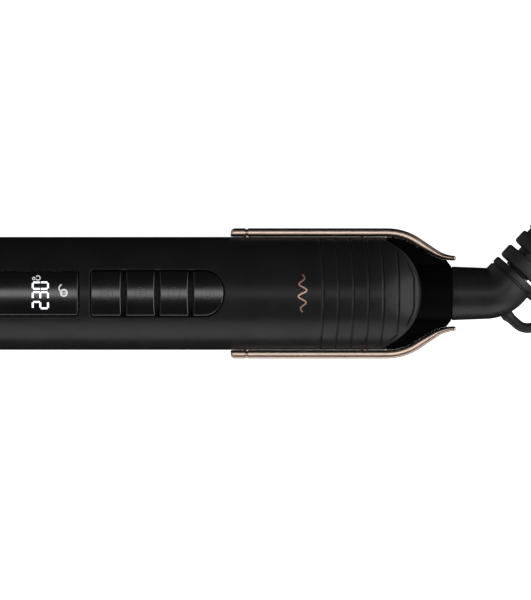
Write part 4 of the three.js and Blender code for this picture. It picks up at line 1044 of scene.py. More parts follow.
@dataclass
class Housing:
    """The two halves of the handle's shell, with the ribbed rear and the domed nose."""

    layout: Layout
    wall: float = 2.2
    nose_drop: float = 6.0
    nose_run: float = 18.0
    corner: float = 1.1
    grooves: int = 7
    groove_back: float = 32.8
    groove_pitch: float = 5.05
    groove_half: float = 0.4
    groove_depth: float = 0.4
    bow: float = 1.1
    end_chamfer: float = 0.3
    rows: int = 121
    peg_radius: float = 1.5
    boss_radius: float = 3.2
    pilot_radius: float = 1.1
    counterbore_radius: float = 3.0
    counterbore_depth: float = 5.0
    pillar_radius: float = 4.3
    even_stations: tuple[float, float, int] = (20.0, 24.0, 6)  # first behind the front, last at, how many
    bow_start: float = 38.0
    groove_lead: float = 0.4
    fade: tuple[float, float] = (2.9, 1.2)  # past the rim by which a groove is gone, and over which it fades
    opening_chamfer: float = 0.42
    opening_flare: float = 0.85
    pilot_slack: float = 0.2
    pilot_cover: float = 3.2

    def __post_init__(self) -> None:
        """Reads the screws' places from the frame."""
        self.screw_places = [middle_x(f"housing_screw_{i}") for i in (1, 2, 3)]
        self.pilot_way = self.pilot_radius + SLIP + self.pilot_slack
        rail_front = box_mm("side_rail_left")[0][0]
        self.peg_places = [rail_front + 5.6, rail_front + 45]

    def _top(self, x: Array) -> Array:
        """Rise of the top line above the axis at the places x: level, then falling in an arc to the nose."""
        arc_radius = (self.nose_run**2 + self.nose_drop**2) / (2 * self.nose_drop)
        past = np.clip(x - (self.layout.nose_end - self.nose_run), 0, None)
        return self.layout.radius - arc_radius + np.sqrt(arc_radius**2 - past**2)

    def _groove_centres(self, y: Array, rim: Array) -> list[tuple[Array, Array, Array]]:
        """The grooves' places over the rows, from the first to the last.

        Args:
            y: The rows' places across.
            rim: Where the nose's rim lies along X in each row.

        Returns:
            For each groove its place along X, its share of full depth and its half width. A groove that meets
            the rim follows it for a short way and then fades.
        """
        layout = self.layout
        bow = self.bow * (y / layout.radius) ** 2
        limit = rim - self.corner - self.groove_lead
        fade_end, fade_run = self.fade
        found = []
        for i in reversed(range(self.grooves)):
            wanted = layout.nose_end - self.groove_back + i * self.groove_pitch - bow
            excess = np.clip(wanted - (limit - self.groove_half), 0, None)
            share = np.clip((fade_end - excess) / fade_run, 0, 1)
            half = self.groove_half * (0.06 + 0.94 * share)
            centre = np.minimum(wanted, limit - half)
            found.append((centre, share, half))
            limit = centre - half - 0.05
        return found[::-1]

    def _skin_stations(self, y: Array, rim: Array) -> list[tuple[Array, Array]]:
        """Places along X and depths of the skin's stations in each row, up to the rim.

        Args:
            y: The rows' places across.
            rim: Where the rim lies along X in each row.

        Returns:
            Pairs of (place, depth), from the handle's front to the rim.
        """
        none = np.zeros_like(y)
        front = self.layout.front
        stations = [(none + front, none + self.end_chamfer), (none + front + self.end_chamfer, none)]
        behind, last, count = self.even_stations
        stations += [(none + x, none) for x in np.linspace(front + behind, last, count)]
        stations += [(self.bow_start - 0.5 * self.bow * (y / self.layout.radius) ** 2, none)]
        profile = ((-1, 0.02), (-0.62, 0.2), (-0.3, 0.85), (0.1, 1), (0.5, 0.85), (0.75, 0.2), (1, 0.02))
        before = stations[-1][0]
        for centre, share, half in self._groove_centres(y, rim):
            start = centre - half
            stations += [(before + (start - before) * t, none) for t in (0.12, 0.5, 0.88)]
            stations += [(centre + half * t, self.groove_depth * share * depth) for t, depth in profile]
            before = centre + half
        land = rim - self.corner * np.sqrt(np.clip(1 - (y / self.layout.radius) ** 2, 0, 1))
        stations += [(before + (land - before) * 0.5, none), (land, none)]
        return stations

    def upper_sheets(self) -> tuple[Array, Array]:
        """The upper half's outside and inside as grids of equal size."""
        layout = self.layout
        seam = layout.seam_top
        lean = math.asin((seam - layout.axis_z) / layout.radius)
        turn = np.linspace(lean, math.pi - lean, self.rows)
        y = layout.radius * np.cos(turn)
        rim = layout.nose_centre + layout.radius * np.sin(turn)
        inner = layout.radius - self.wall
        inner_y = inner * np.cos(turn)
        inner_rim = layout.nose_centre + inner * np.sin(turn)
        outside, inside = [], []

        def add(x: Array, depth: Array, drop: Array, fall: float) -> None:
            """Adds one station: depth shrinks the section, drop lowers it and fall brings it to the seam."""
            top = self._top(x)
            z = layout.axis_z + (top - depth) * np.sin(turn) - drop
            z = np.maximum(z + (seam - z) * fall, seam)
            outside.append(np.stack([x, (layout.radius - depth) * np.cos(turn), z], axis=1))
            inner_x = layout.front + (x - layout.front) * (inner_rim - layout.front) / (rim - layout.front)
            inner_z = layout.axis_z + (top - self.wall) * np.sin(turn)
            inner_z = np.maximum(inner_z + (seam - inner_z) * fall, seam)
            inside.append(np.stack([inner_x, inner_y, inner_z], axis=1))

        none = np.zeros_like(y)
        for x, depth in self._skin_stations(y, rim):
            add(x, depth, none, 0.0)
        corner = self.corner * np.sin(turn)
        for angle in np.radians([22.5, 45.0, 67.5, 90.0]):
            add(rim - corner * (1 - math.sin(angle)), none, corner * (1 - math.cos(angle)), 0.0)
        for fall in (0.25, 0.6, 1.0):
            add(rim, none, corner, fall)
        return np.stack(outside, axis=1), np.stack(inside, axis=1)

    def openings(self) -> list[Solid]:
        """Cutters for the display's and the buttons' openings, with a chamfer round the top."""
        radius = self.layout.radius
        chamfer, flare = self.opening_chamfer, self.opening_flare
        levels = ((radius - 5, SLIP), (radius - chamfer, SLIP), (radius + 0.5, SLIP + flare))
        return [shape.solid(self.layout, levels) for shape in (display_shape(), strip_shape())]

    def pegs(self) -> list[Solid]:
        """Cutters for the rails' pegs."""
        reach = self.layout.radius + 2
        centre = self.layout.axis_z
        return [rod((x, -reach, centre), (x, reach, centre), self.peg_radius, 24) for x in self.peg_places]

    def build_upper(self, bench: Bench) -> None:
        """Builds the upper half: shell, openings, grooves and screw bosses."""
        layout = self.layout
        shell = stacked(self.upper_sheets()[::-1])
        clearance = box_mm("tail_cap")[1][2] - layout.axis_z + SLIP
        swivel_way = rod(layout.at_axis(layout.nose_centre), layout.at_axis(layout.tail_end), clearance, 96)
        shell.cut(*self.openings(), swivel_way, *self.pegs())
        crown = layout.axis_z + layout.radius - self.wall + 0.8
        bosses = []
        for x in self.screw_places:
            boss = rod((x, 0, layout.seam_top), (x, 0, crown), self.boss_radius)
            pilot_ends = (x, 0, layout.seam_top - 1), (x, 0, crown - self.pilot_cover)
            bosses.append(boss.cut(rod(*pilot_ends, self.pilot_way)))
        shell.join(*bosses)
        bench.fit(shell, "upper_shell", Body.HANDLE, Slot.SOFT_TOUCH, replaces=("upper_housing",), smooth=28)

    def build_lower(self, bench: Bench) -> None:
        """Builds the lower half: shell with a flat underside, pillars and counterbores."""
        layout = self.layout
        back = box_mm("lower_housing")[1][0]
        lean = math.asin((layout.axis_z - layout.seam_bottom) / layout.radius)
        turn = np.linspace(math.pi + lean, 2 * math.pi - lean, self.rows)
        chamfer = self.end_chamfer
        sheets = []
        for radius, cut in ((layout.radius - self.wall, 0.0), (layout.radius, chamfer)):
            columns = []
            ends = (layout.front, cut), (layout.front + chamfer, 0.0), (back - chamfer, 0.0), (back, cut)
            for x, depth in ends:
                z = np.maximum(layout.axis_z + (radius - depth) * np.sin(turn), 0.0 if cut else 1.2)
                columns.append(np.stack([np.full(self.rows, x), (radius - depth) * np.cos(turn), z], axis=1))
            sheets.append(np.stack(columns, axis=1))
        shell = stacked(sheets)
        top = layout.seam_bottom - 0.2
        shell.join(*[rod((x, 0, 0.4), (x, 0, top), self.pillar_radius) for x in self.screw_places])
        bores = []
        for x in self.screw_places:
            bores.append(rod((x, 0, -1), (x, 0, self.counterbore_depth), self.counterbore_radius))
            bores.append(rod((x, 0, -2), (x, 0, layout.axis_z + 2), self.pilot_way, 24))
        shell.cut(*bores, *self.pegs())
        bench.fit(shell, "lower_shell", Body.HANDLE, Slot.SOFT_TOUCH, replaces=("lower_housing",), smooth=28)

    def build(self, bench: Bench) -> None:
        """Builds both halves."""
        self.build_upper(bench)
        self.build_lower(bench)


@dataclass
class CrossScrew:
    """A screw with a domed head, a cross recess and a thread of rings."""

    node: str
    head_radius: float
    head_height: float
    shank_radius: float
    pitch: float = 1.1
    recess: float = 0.8

    def build(self, bench: Bench) -> None:
        """Builds the screw where its node stands, head below if the node is the handle's."""
        low, high = box_mm(self.node)
        x, y = middle_x(self.node), (low[1] + high[1]) / 2
        head_below = self.node.startswith("housing")
        start, end = (low[2], high[2]) if head_below else (high[2], low[2])
        way = Vector((0, 0, math.copysign(1.0, end - start)))
        place = along(way, (x, y, start))
        length = abs(end - start)
        profile = [(0.0, self.head_radius * 0.55), (0.12 * self.head_height, self.head_radius * 0.86)]
        profile += [(0.5 * self.head_height, self.head_radius), (self.head_height, self.head_radius)]
        profile += [(self.head_height, self.shank_radius * 0.8)]
        at = self.head_height + 0.4
        while at + self.pitch < length - 0.8:
            profile += [(at, self.shank_radius * 0.8), (at + self.pitch / 2, self.shank_radius)]
            at += self.pitch
        profile += [(length - 0.8, self.shank_radius * 0.8), (length, self.shank_radius * 0.3)]
        screw = turned(profile, 24, place)
        arm, thin = self.head_radius * 0.55, self.head_radius * 0.13
        outline = ((-arm, -thin), (arm, thin))
        for (x0, y0), (x1, y1) in (outline, ((-thin, -arm), (thin, arm))):
            corners = [(x0, y0), (x1, y0), (x1, y1), (x0, y1)]
            screw.cut(prism(corners, -self.recess, self.recess, Matrix.Translation((x, y, start))))
        bench.fit(screw, f"{self.node}_detailed", Body.HANDLE, Slot.STEEL, replaces=(self.node,))


# --- Tail and rails ---


@dataclass
class FlankLine:
    """The rails' outer line in plan: straight, bent in towards the tail and bent back."""

    layout: Layout
    turn: float = math.radians(34)
    outer_radius: float = 19.7
    inner_radius: float = 10.9
    tip_half: float = 1.25
    lip: float = 1.5
    thickness: float = 2.86
    tip_thickness: float = 1.6

    def __post_init__(self) -> None:
        """Works out where the bends start and end."""
        low, high = box_mm("side_rail_left")
        self.front, self.back, self.outside = low[0], high[0], high[1]
        boss = box_mm("tail_cap")[1][2] - self.layout.axis_z
        self.tip_y = boss + self.lip + SLIP + self.tip_half
        self.start = self.layout.tail_front

    def thickness_at(self, x: float) -> float:
        """The rail's thickness, which falls over its last stretch."""
        share = min(max((x - (self.start + 12)) / (self.back - self.start - 12), 0.0), 1.0)
        share = share * share * (3 - 2 * share)
        return self.thickness + (self.tip_thickness - self.thickness) * share

    def inner(self, gap: float, steps: int = 12) -> Flat:
        """Points a gap inside the rail's inner side, which comes outwards where the rail gets slim.

        Args:
            gap: The gap in millimetres.
            steps: Steps in each bend.

        Returns:
            Places (x, y) from the first bend's start to the rail's tip.
        """
        line = []
        insets = (0.0, self.thickness + gap, self.tip_thickness + gap)
        for (place, _), (x, y), (slim_x, slim_y) in zip(*(self.points(inset, steps) for inset in insets)):
            share = (self.thickness - self.thickness_at(place)) / (self.thickness - self.tip_thickness)
            line.append((x + (slim_x - x) * share, y + (slim_y - y) * share))
        return line

    def points(self, inset: float, steps: int = 10) -> Flat:
        """Points of the line, moved in towards the axis.

        Args:
            inset: How far it is moved in, in millimetres.
            steps: Steps in each bend.

        Returns:
            Places (x, y) from the first bend's start to the rail's tip.
        """
        first = self.outer_radius - inset
        second = self.inner_radius + inset
        turns = [self.turn * i / steps for i in range(steps + 1)]
        centre_y = self.outside - self.outer_radius
        line = [(self.start + first * math.sin(t), centre_y + first * math.cos(t)) for t in turns]
        centre_y = self.tip_y + self.inner_radius
        line += [(self.back - second * math.sin(t), centre_y - second * math.cos(t)) for t in reversed(turns)]
        return line


@dataclass
class SideRail:
    """One rose-gold rail with a rounded section, a notch behind its front end and a slim flared tip."""

    line: FlankLine
    side: int
    corner: float = 0.95
    crown: float = 0.12
    front_round: float = 1.5
    notch_back: float = 5.4
    notch: float = 0.28
    notch_half: float = 0.5
    notch_floor: float = 0.28
    tip_round: float = 0.7
    peg_radius: float = 1.2

    def _stations(self) -> list[tuple[float, float, float, float, float]]:
        """Stations along the rail.

        Returns:
            For each the place (x, y) of the outer line, the outer and inner insets and the shrink in height.
        """
        front, outside = self.line.front, self.line.outside
        rounding = self.front_round
        found = []
        for angle in np.radians(np.linspace(0, 90, 7)):
            cut = rounding * (1 - math.sin(angle))
            found.append((front + rounding * (1 - math.cos(angle)), outside, cut, 0.12 * cut, 0.35 * cut))
        notch = front + self.notch_back
        half, floor = self.notch_half, self.notch_floor
        for offset, cut in ((-half, 0.0), (-floor, 1.0), (floor, 1.0), (half, 0.0)):
            found.append((notch + offset, outside, cut * self.notch, cut * self.notch, cut * self.notch))
        middle = (notch + self.line.start) / 2
        found.append((middle, outside, 0.0, 0.0, 0.0))
        path = self.line.points(0.0, 12)
        ends = [(x, y, 0.0, 0.0, 0.0) for x, y in path]
        found += ends[:-1]
        x, y = path[-1]
        for angle in np.radians(np.linspace(0, 80, 6)):
            cut = self.tip_round * (1 - math.cos(angle))
            found.append((x - self.tip_round + self.tip_round * math.sin(angle), y, cut, cut, cut))
        return found

    def _section(self, thick: float, half: float, outer_cut: float, inner_cut: float) -> Flat:
        """The rail's section as (inset, rise) points, with crowned edges.

        Args:
            thick: The rail's thickness here.
            half: Half its height.
            outer_cut: How much its outer side is cut back.
            inner_cut: How much its inner side is cut back.

        Returns:
            The points, in order round the section.
        """
        width = thick - outer_cut - inner_cut
        corner = min(self.corner, 0.45 * width)
        points = rounded_box(width / 2, half, corner, 5)
        lift = [self.crown * (1 - (2 * u / width) ** 2) * math.copysign(1, w) for u, w in points]
        return [(outer_cut + width / 2 + u, w + rise) for (u, w), rise in zip(points, lift)]

    def build(self, bench: Bench) -> None:
        """Builds the rail and its pegs."""
        low, high = box_mm("side_rail_left")
        half = (high[2] - low[2]) / 2 - self.crown
        centre = self.line.layout.axis_z
        stations = self._stations()
        ahead = headings(np.array([(x, y) for x, y, *_ in stations]))
        loops = []
        for (x, y, outer_cut, inner_cut, shrink), way in zip(stations, ahead):
            inward = np.array([way[1], -way[0]])
            section = self._section(self.line.thickness_at(x), half - shrink, outer_cut, inner_cut)
            flat = np.array([(x, y) + inward * inset for inset, _ in section])
            heights = [centre + rise for _, rise in section]
            loops.append(np.column_stack([flat[:, 0], self.side * flat[:, 1], heights]))
        rail = rings(loops)
        housing = Housing(self.line.layout)
        start, end = self.line.layout.radius - housing.wall + 0.4, self.line.outside - 1
        pegs = [
            rod((x, self.side * start, centre), (x, self.side * end, centre), self.peg_radius, 24)
            for x in housing.peg_places
        ]
        rail.join(*pegs)
        name = "left" if self.side > 0 else "right"
        replaced = (f"side_rail_{name}",)
        bench.fit(rail, f"rail_{name}", Body.HANDLE, Slot.ROSE_GOLD, replaces=replaced, smooth=40)


@dataclass
class Tail:
    """The tail: a bell under a flat deck with the swivel's round boss."""

    line: FlankLine
    wall: float = 2.2
    gap: float = 0.03
    lap: float = 0.27
    lip_chamfer: float = 0.45
    deck_gap: float = 0.05
    end_wall: float = 5.0
    floor: float = 1.2
    shaft_clearance: float = 6.3

    def build(self, bench: Bench) -> None:
        """Builds the tail from the turned bell, the boss and the shaft's way."""
        layout = self.line.layout
        front, end = layout.tail_front - self.lap, layout.tail_end
        boss = box_mm("tail_cap")[1][2] - layout.axis_z
        rim = end - self.line.lip
        curve = [(x, y) for x, y in self.line.inner(self.gap) if x < rim]
        profile = [(front, curve[0][1]), *curve[1:], (rim, curve[-1][1])]
        profile += [(end - 0.25, boss - 0.1), (end, boss - self.lip_chamfer)]
        bell = layout.lathe(profile)
        deck = layout.seam_bottom - self.deck_gap
        reach = 2 * layout.radius
        inside = end - self.end_wall
        bell.common(block((front - 1, -reach, 0), (end + 1, reach, deck)))
        curve = [(x, y) for x, y in self.line.inner(self.gap + self.wall, 8) if x < inside]
        hollow = layout.lathe([(front - 1, curve[0][1]), *curve[1:], (inside, curve[-1][1])])
        hollow.common(block((front - 2, -reach, self.floor), (inside, reach, deck - self.wall)))
        bell.cut(hollow)
        hub_edge = [(end - 0.5, boss), (end - 0.15, boss - 0.12), (end, boss - self.lip_chamfer)]
        hub = layout.lathe([(front, boss), *hub_edge])
        bell.join(hub)
        bell.cut(rod(layout.at_axis(front - 1), layout.at_axis(end + 1), self.shaft_clearance, 64))
        replaced = ("tail_cap",)
        # The tail keeps the soft-touch slot but takes the darker tail finish, whose colour is painted shade on the
        # low deck and boss.
        bench.fit(bell, "tail_bell", Body.HANDLE, Slot.SOFT_TOUCH, "tail_plastic_painted_shade", replaced, 30)


# --- Display and buttons ---


def display_shape() -> SkinShape:
    """The display lens's outline: round towards the barrel, square towards the buttons."""
    low, high = box_mm("display_lens")
    return SkinShape(low[0], high[0], high[1], front_end=End.ROUND, reach=6.0)


def strip_shape() -> SkinShape:
    """The outline of the four buttons together: square towards the display, round towards the tail."""
    low = box_mm("ion_button")[0]
    high = box_mm("power_button")[1]
    return SkinShape(low[0], high[0], high[1], back_end=End.ROUND, reach=6.4)


@dataclass(frozen=True)
class SegmentDigit:
    """One seven-segment digit that reads along +Y, with its top towards the barrel."""

    lit: str
    width: float = 2.15
    height: float = 5.1
    stroke: float = 0.62

    def draw(self, print_: SkinPrint, foot: float, start: float) -> None:
        """Adds the digit's segments.

        Args:
            print_: The lines to add to.
            foot: Place along X of the digit's foot.
            start: Place across of its left edge.
        """
        w, h, gap = self.width, self.height, 0.18
        corners = {
            "a": ((gap, h), (w - gap, h)),
            "b": ((w, h - gap), (w, h / 2 + gap)),
            "c": ((w, h / 2 - gap), (w, gap)),
            "d": ((gap, 0.0), (w - gap, 0.0)),
            "e": ((0.0, gap), (0.0, h / 2 - gap)),
            "f": ((0.0, h / 2 + gap), (0.0, h - gap)),
            "g": ((gap, h / 2), (w - gap, h / 2)),
        }
        for segment in self.lit:
            ends = [(foot - up, start + right) for right, up in corners[segment]]
            print_.line(ends, self.stroke)


@dataclass
class Display:
    """The dark glass with the temperature, the unit and an open padlock."""

    layout: Layout
    thickness: float = 1.9
    digits: tuple[str, ...] = ("abged", "abgcd", "abcdef")
    digit_pitch: float = 3.25
    digit_foot: float = 9.9
    first_digit: float = -5.0
    padlock_place: float = 4.6

    def build(self, bench: Bench) -> None:
        """Builds the glass and what is lit behind it."""
        top = box_mm("display_lens")[1][2] - self.layout.axis_z
        shape = display_shape()
        edge = ((0.2, 0.0), (0.07, -0.05), (0.02, -0.13), (0.0, -0.25))
        levels = [(top - self.thickness, 0.0), *[(top - drop, margin) for drop, margin in edge]]
        glass = shape.solid(self.layout, levels, 65, 41)
        replaced = ("display_lens",)
        bench.fit(glass, "display_glass", Body.HANDLE, Slot.GLOSS_BLACK, replaces=replaced, smooth=50)
        lit = SkinPrint(self.layout, top)
        foot = shape.back - self.digit_foot
        for i, segments in enumerate(self.digits):
            SegmentDigit(segments).draw(lit, foot, self.first_digit + i * self.digit_pitch)
        bench.fit(lit.solid(), "display_digits", Body.HANDLE, Slot.COMPONENT, "glow", smooth=60)
        signs = SkinPrint(self.layout, top)
        signs.circle(foot - 4.75, 4.95, 0.42, 0.3)
        signs.line(arc((foot - 3.35, 5.15), 0.72, -150, 150, 12), 0.34)
        self._padlock(signs, shape.back - self.padlock_place)
        bench.fit(signs.solid(), "display_signs", Body.HANDLE, Slot.COMPONENT, "glow_dim", smooth=60)

    def _padlock(self, signs: SkinPrint, x: float) -> None:
        """Adds the open padlock, its shackle swung out sideways.

        Args:
            signs: The lines to add to.
            x: Place along X of its body's middle.
        """
        signs.circle(x, 0.15, 1.02, 0.62)
        signs.line([(x - 0.68, 0.15), (x + 0.68, 0.15)], 0.34)
        shackle = ((1.15, 0.75), (1.6, 1.3), (1.62, 2.0), (1.25, 2.6), (0.75, 2.95))
        signs.line([(x - up, y) for up, y in shackle], 0.42)


@dataclass
class Button:
    """One glossy button: a curved cap with a pillowed edge, a stem and a faint sign."""

    layout: Layout
    node: str
    body: Body
    first: bool = False
    last: bool = False
    stem_radius: float = 1.5
    thickness: float = 1.6
    cap_gap: float = 0.65
    sign_radius: float = 1.95
    sign_width: float = 0.16

    def build(self, bench: Bench) -> None:
        """Builds the cap, its stem and its sign."""
        low, high = box_mm(self.node)
        top = high[2] - self.layout.axis_z
        shape = SkinShape(
            low[0],
            high[0],
            high[1],
            front_end=End.SQUARE if self.first else End.HOLLOW,
            back_end=End.ROUND if self.last else End.HOLLOW,
            corner=1.0 if self.first else 0.45,
            reach=6.4,
        )
        edge = ((0.4, 0.0), (0.16, -0.05), (0.05, -0.14), (0.01, -0.26), (0.0, -0.42))
        levels = [(top - self.thickness, 0.0), *[(top - drop, margin) for drop, margin in edge]]
        cap = shape.solid(self.layout, levels, 57, 25)
        x = self._centre(low[0], high[0])
        stem_top = self.layout.axis_z + top - self.thickness + 0.6
        cap.join(rod((x, 0, low[2]), (x, 0, stem_top), self.stem_radius, 24))
        bench.fit(cap, f"{self.node}_cap", self.body, Slot.GLOSS_BLACK, replaces=(self.node,), smooth=50)
        sign = SkinPrint(self.layout, top, 0.03)
        self._draw_sign(sign, x)
        name = f"{self.node}_sign"
        bench.fit(sign.solid(), name, self.body, Slot.GLOSS_BLACK, "print_grey", smooth=60)

    def _centre(self, low: float, high: float) -> float:
        """Place along X of the stem, in the middle of the button's share of the strip."""
        pitch = box_mm("minus_button")[0][0] - box_mm("plus_button")[0][0]
        if self.first:
            return high + self.cap_gap - pitch / 2
        return low - self.cap_gap + pitch / 2

    def _draw_sign(self, sign: SkinPrint, x: float) -> None:
        """Adds a ring with the button's sign in it."""
        sign.circle(x, 0.0, self.sign_radius, self.sign_width)
        bar = 0.62 * self.sign_radius
        width = self.sign_width
        if self.body is Body.PLUS_KEY:
            sign.line([(x, -bar), (x, bar)], width)
            sign.line([(x - bar, 0), (x - width / 2, 0)], width)
            sign.line([(x + width / 2, 0), (x + bar, 0)], width)
        elif self.body is Body.MINUS_KEY:
            sign.line([(x, -bar), (x, bar)], width)
        elif self.body is Body.POWER_KEY:
            sign.line(arc((x, 0), 0.5 * self.sign_radius, 215, 505, 20), width)
            sign.line([(x - 0.7 * self.sign_radius, 0), (x - 0.1, 0)], width)
        else:
            for turn in range(3):
                angle = math.radians(60 + 120 * turn)
                sign.circle(x + 0.8 * math.cos(angle), 0.8 * math.sin(angle), 0.38, width)


@dataclass
class WaveMark:
    """A small foil wave across the grip."""

    layout: Layout
    place: float = 40.0
    half_length: float = 6.3
    height: float = 1.45
    waves: float = 3.0
    stroke: float = 0.5

    def build(self, bench: Bench) -> None:
        """Builds the wave as one thin raised line."""
        foil = SkinPrint(self.layout, self.layout.radius, 0.04, 0.2)
        line = []
        for share in np.linspace(-1, 1, 90):
            swell = self.height * math.cos(0.42 * math.pi * share)
            place = self.place + swell * math.sin(math.pi * self.waves * share)
            line.append((place, share * self.half_length))
        foil.line(line, self.stroke)
        bench.fit(foil.solid(), "wave_mark", Body.HANDLE, Slot.ROSE_GOLD, "rose_print", smooth=60)


# --- Cord swivel ---


def side_prism(outline: Flat, low: float, high: float) -> Solid:
    """An outline in X and Z, extruded across from one place to another."""
    return prism(outline, -high, -low, Matrix.Rotation(math.pi / 2, 4, "X"))


@dataclass
class ElbowLine:
    """The elbow's centre line: straight out of the handle, round a bend, and straight again."""

    layout: Layout
    neck_gap: float = 0.06
    neck: float = 11.4
    turn: float = math.radians(47.8)
    bend: float = 9.3
    end: float = 5.3

    def __post_init__(self) -> None:
        """Works out where the line starts and how long it is."""
        self.start = self.layout.tail_end + self.neck_gap
        self.length = self.neck + self.bend * self.turn + self.end

    def at(self, s: float) -> tuple[Array, Array, Array]:
        """A place along the line.

        Args:
            s: Distance from its start in millimetres.

        Returns:
            The point, the direction ahead and the direction to the left.
        """
        turn = min(max((s - self.neck) / self.bend, 0.0), self.turn)
        past = max(s - self.neck - self.bend * self.turn, 0.0)
        ahead = np.array([math.cos(turn), math.sin(turn), 0.0])
        left = np.array([-math.sin(turn), math.cos(turn), 0.0])
        bend_start = self.start + min(s, self.neck)
        point = np.array([bend_start + self.bend * math.sin(turn), self.bend * (1 - math.cos(turn)), 0.0])
        return point + past * ahead + (0, 0, self.layout.axis_z), ahead, left

    def place_at_end(self) -> Matrix:
        """A placing that moves the origin to the line's end with +X ahead."""
        point, ahead, _ = self.at(self.length)
        return along(Vector(ahead), point)


@dataclass
class CordSwivel:
    """The elbow with its shaft, the ribbed strain relief and the hanging loop."""

    layout: Layout
    neck_radius: float = 9.05
    bend_radius: float = 8.62
    end_radius: float = 8.35
    edge: float = 0.6
    collar: float = 2.7
    cord_bore: float = 3.4
    shaft_radius: float = 6.0
    shaft_chamfer: float = 0.4
    shaft_end: float = 92.0
    ring_count: int = 6
    ring_pitch: float = 6.7
    ring_length: float = 4.9
    ring_start: float = 1.0
    ring_radius: float = 8.1
    last_ring_radius: float = 6.0
    ring_round: float = 0.85
    core_radius: float = 4.6
    web: float = 3.4
    web_drop: float = 0.8
    web_lap: float = 0.3
    tube_radius: float = 1.7
    loop_foot: float = 5.2
    loop_half: float = 5.3
    loop_leg: float = 11.8

    def __post_init__(self) -> None:
        """Lays the elbow's centre line."""
        self.line = ElbowLine(self.layout)

    def _radius_at(self, s: float) -> float:
        """The elbow's radius, which falls a little along the neck and more round the bend."""
        line = self.line
        along_line = (0.0, line.neck, line.neck + line.bend * line.turn, line.length)
        middle = 0.35 * self.bend_radius + 0.65 * self.end_radius
        return float(np.interp(s, along_line, (self.neck_radius, self.bend_radius, middle, self.end_radius)))

    def _elbow_body(self, margin: float, sides: int = 96) -> Solid:
        """The elbow's outside with rounded ends, grown by a margin."""
        line = self.line
        stops = quarter(self.edge)
        inner = [*np.linspace(3, line.neck - 0.5, 6), *np.linspace(line.neck, line.length - line.end, 22)]
        inner += [line.length - line.end * 0.75]
        spots = [*stops, *[(s, 0.0) for s in inner]]
        groove = ((-0.5, 0.0), (-0.2, 0.5), (0.2, 0.5), (0.5, 0.0))
        spots += [(line.length - self.collar + s, cut) for s, cut in groove]
        spots += [(line.length - s, cut) for s, cut in reversed(stops)]
        turns = np.linspace(0, 2 * math.pi, sides, endpoint=False)
        loops = []
        for s, cut in spots:
            point, _, left = line.at(s)
            radius = self._radius_at(s) - cut + margin
            up = np.array([0.0, 0.0, 1.0])
            loops.append(point + radius * (np.cos(turns)[:, None] * left + np.sin(turns)[:, None] * up))
        return rings(loops)

    def build_elbow(self, bench: Bench) -> None:
        """Builds the elbow, its shaft in the handle and the cord's way."""
        layout = self.layout
        low = box_mm("swivel_elbow")[0]
        radius, chamfer = self.shaft_radius, self.shaft_chamfer
        elbow = self._elbow_body(0.0)
        shaft = [(low[0], radius - chamfer), (low[0] + chamfer, radius), (self.shaft_end, radius)]
        elbow.join(layout.lathe(shaft, 64))
        way = layout.lathe([(low[0] - 1, self.cord_bore), (low[0] + 20, self.cord_bore)], 48)
        mouth = turned([(-3.0, self.cord_bore), (1.0, self.cord_bore)], 48, self.line.place_at_end())
        elbow.cut(way, mouth)
        bench.fit(elbow, "elbow", Body.SWIVEL, Slot.ELBOW_BLACK, replaces=("swivel_elbow",), smooth=40)

    def _ring_radius_at(self, share: float) -> float:
        """Radius of a ring, by its share of the way from the first to the last."""
        return self.ring_radius + (self.last_ring_radius - self.ring_radius) * share

    def _ring_profile(self) -> Flat:
        """The strain relief's outline (x, radius), from foot to free end and back through the bore."""
        profile = [(SLIP, self.cord_bore), (SLIP, self.core_radius)]
        edge = quarter(self.ring_round, 4)
        for i in range(self.ring_count):
            share = i / (self.ring_count - 1)
            radius = self._ring_radius_at(share)
            x0 = self.ring_start + i * self.ring_pitch
            x1 = x0 + self.ring_length
            profile.append((x0, self.core_radius))
            profile += [(x0 + back, radius - cut) for back, cut in edge]
            profile += [(x1 - back, radius - cut) for back, cut in reversed(edge)]
            if i < self.ring_count - 1:
                profile.append((x1, self.core_radius))
        end = profile[-1][0]
        return [*profile, (end, self.cord_bore), (SLIP, self.cord_bore)]

    def build_relief(self, bench: Bench) -> None:
        """Builds the ribbed sleeve, with webs that change sides from gap to gap."""
        place = self.line.place_at_end()
        sleeve = turned(self._ring_profile(), 72, place)
        dress = (Body.SWIVEL, Slot.BLACK_RUBBER, "", ("strain_relief",), 40)
        bench.fit(sleeve, "relief_sleeve", *dress)
        webs = MeshPile()
        foot = self.core_radius - 2 * self.web_lap
        for i in range(self.ring_count - 1):
            share = (i + 1) / (self.ring_count - 1)
            reach = self._ring_radius_at(share) - self.web_drop
            start = self.ring_start + i * self.ring_pitch + self.ring_length - self.web_lap
            stops = (start, start + self.ring_pitch - self.ring_length + 2 * self.web_lap)
            section = np.array(rounded_box((reach - foot) / 2, self.web / 2, 0.5, 3))
            count = len(section)
            sides = loop_faces(range(count), range(count, 2 * count))
            ends = [tuple(range(count)), tuple(range(count, 2 * count))]
            for side in (1, -1):
                out, across = side * ((reach + foot) / 2 + section[:, 0]), section[:, 1]
                y, z = (out, across) if i % 2 else (across, out)
                points = np.concatenate([np.column_stack([np.full(count, x), y, z]) for x in stops])
                webs.add(placed(points, place), sides + ends)
        bench.fit(webs.solid(), "relief_webs", Body.SWIVEL, Slot.BLACK_RUBBER, smooth=40)

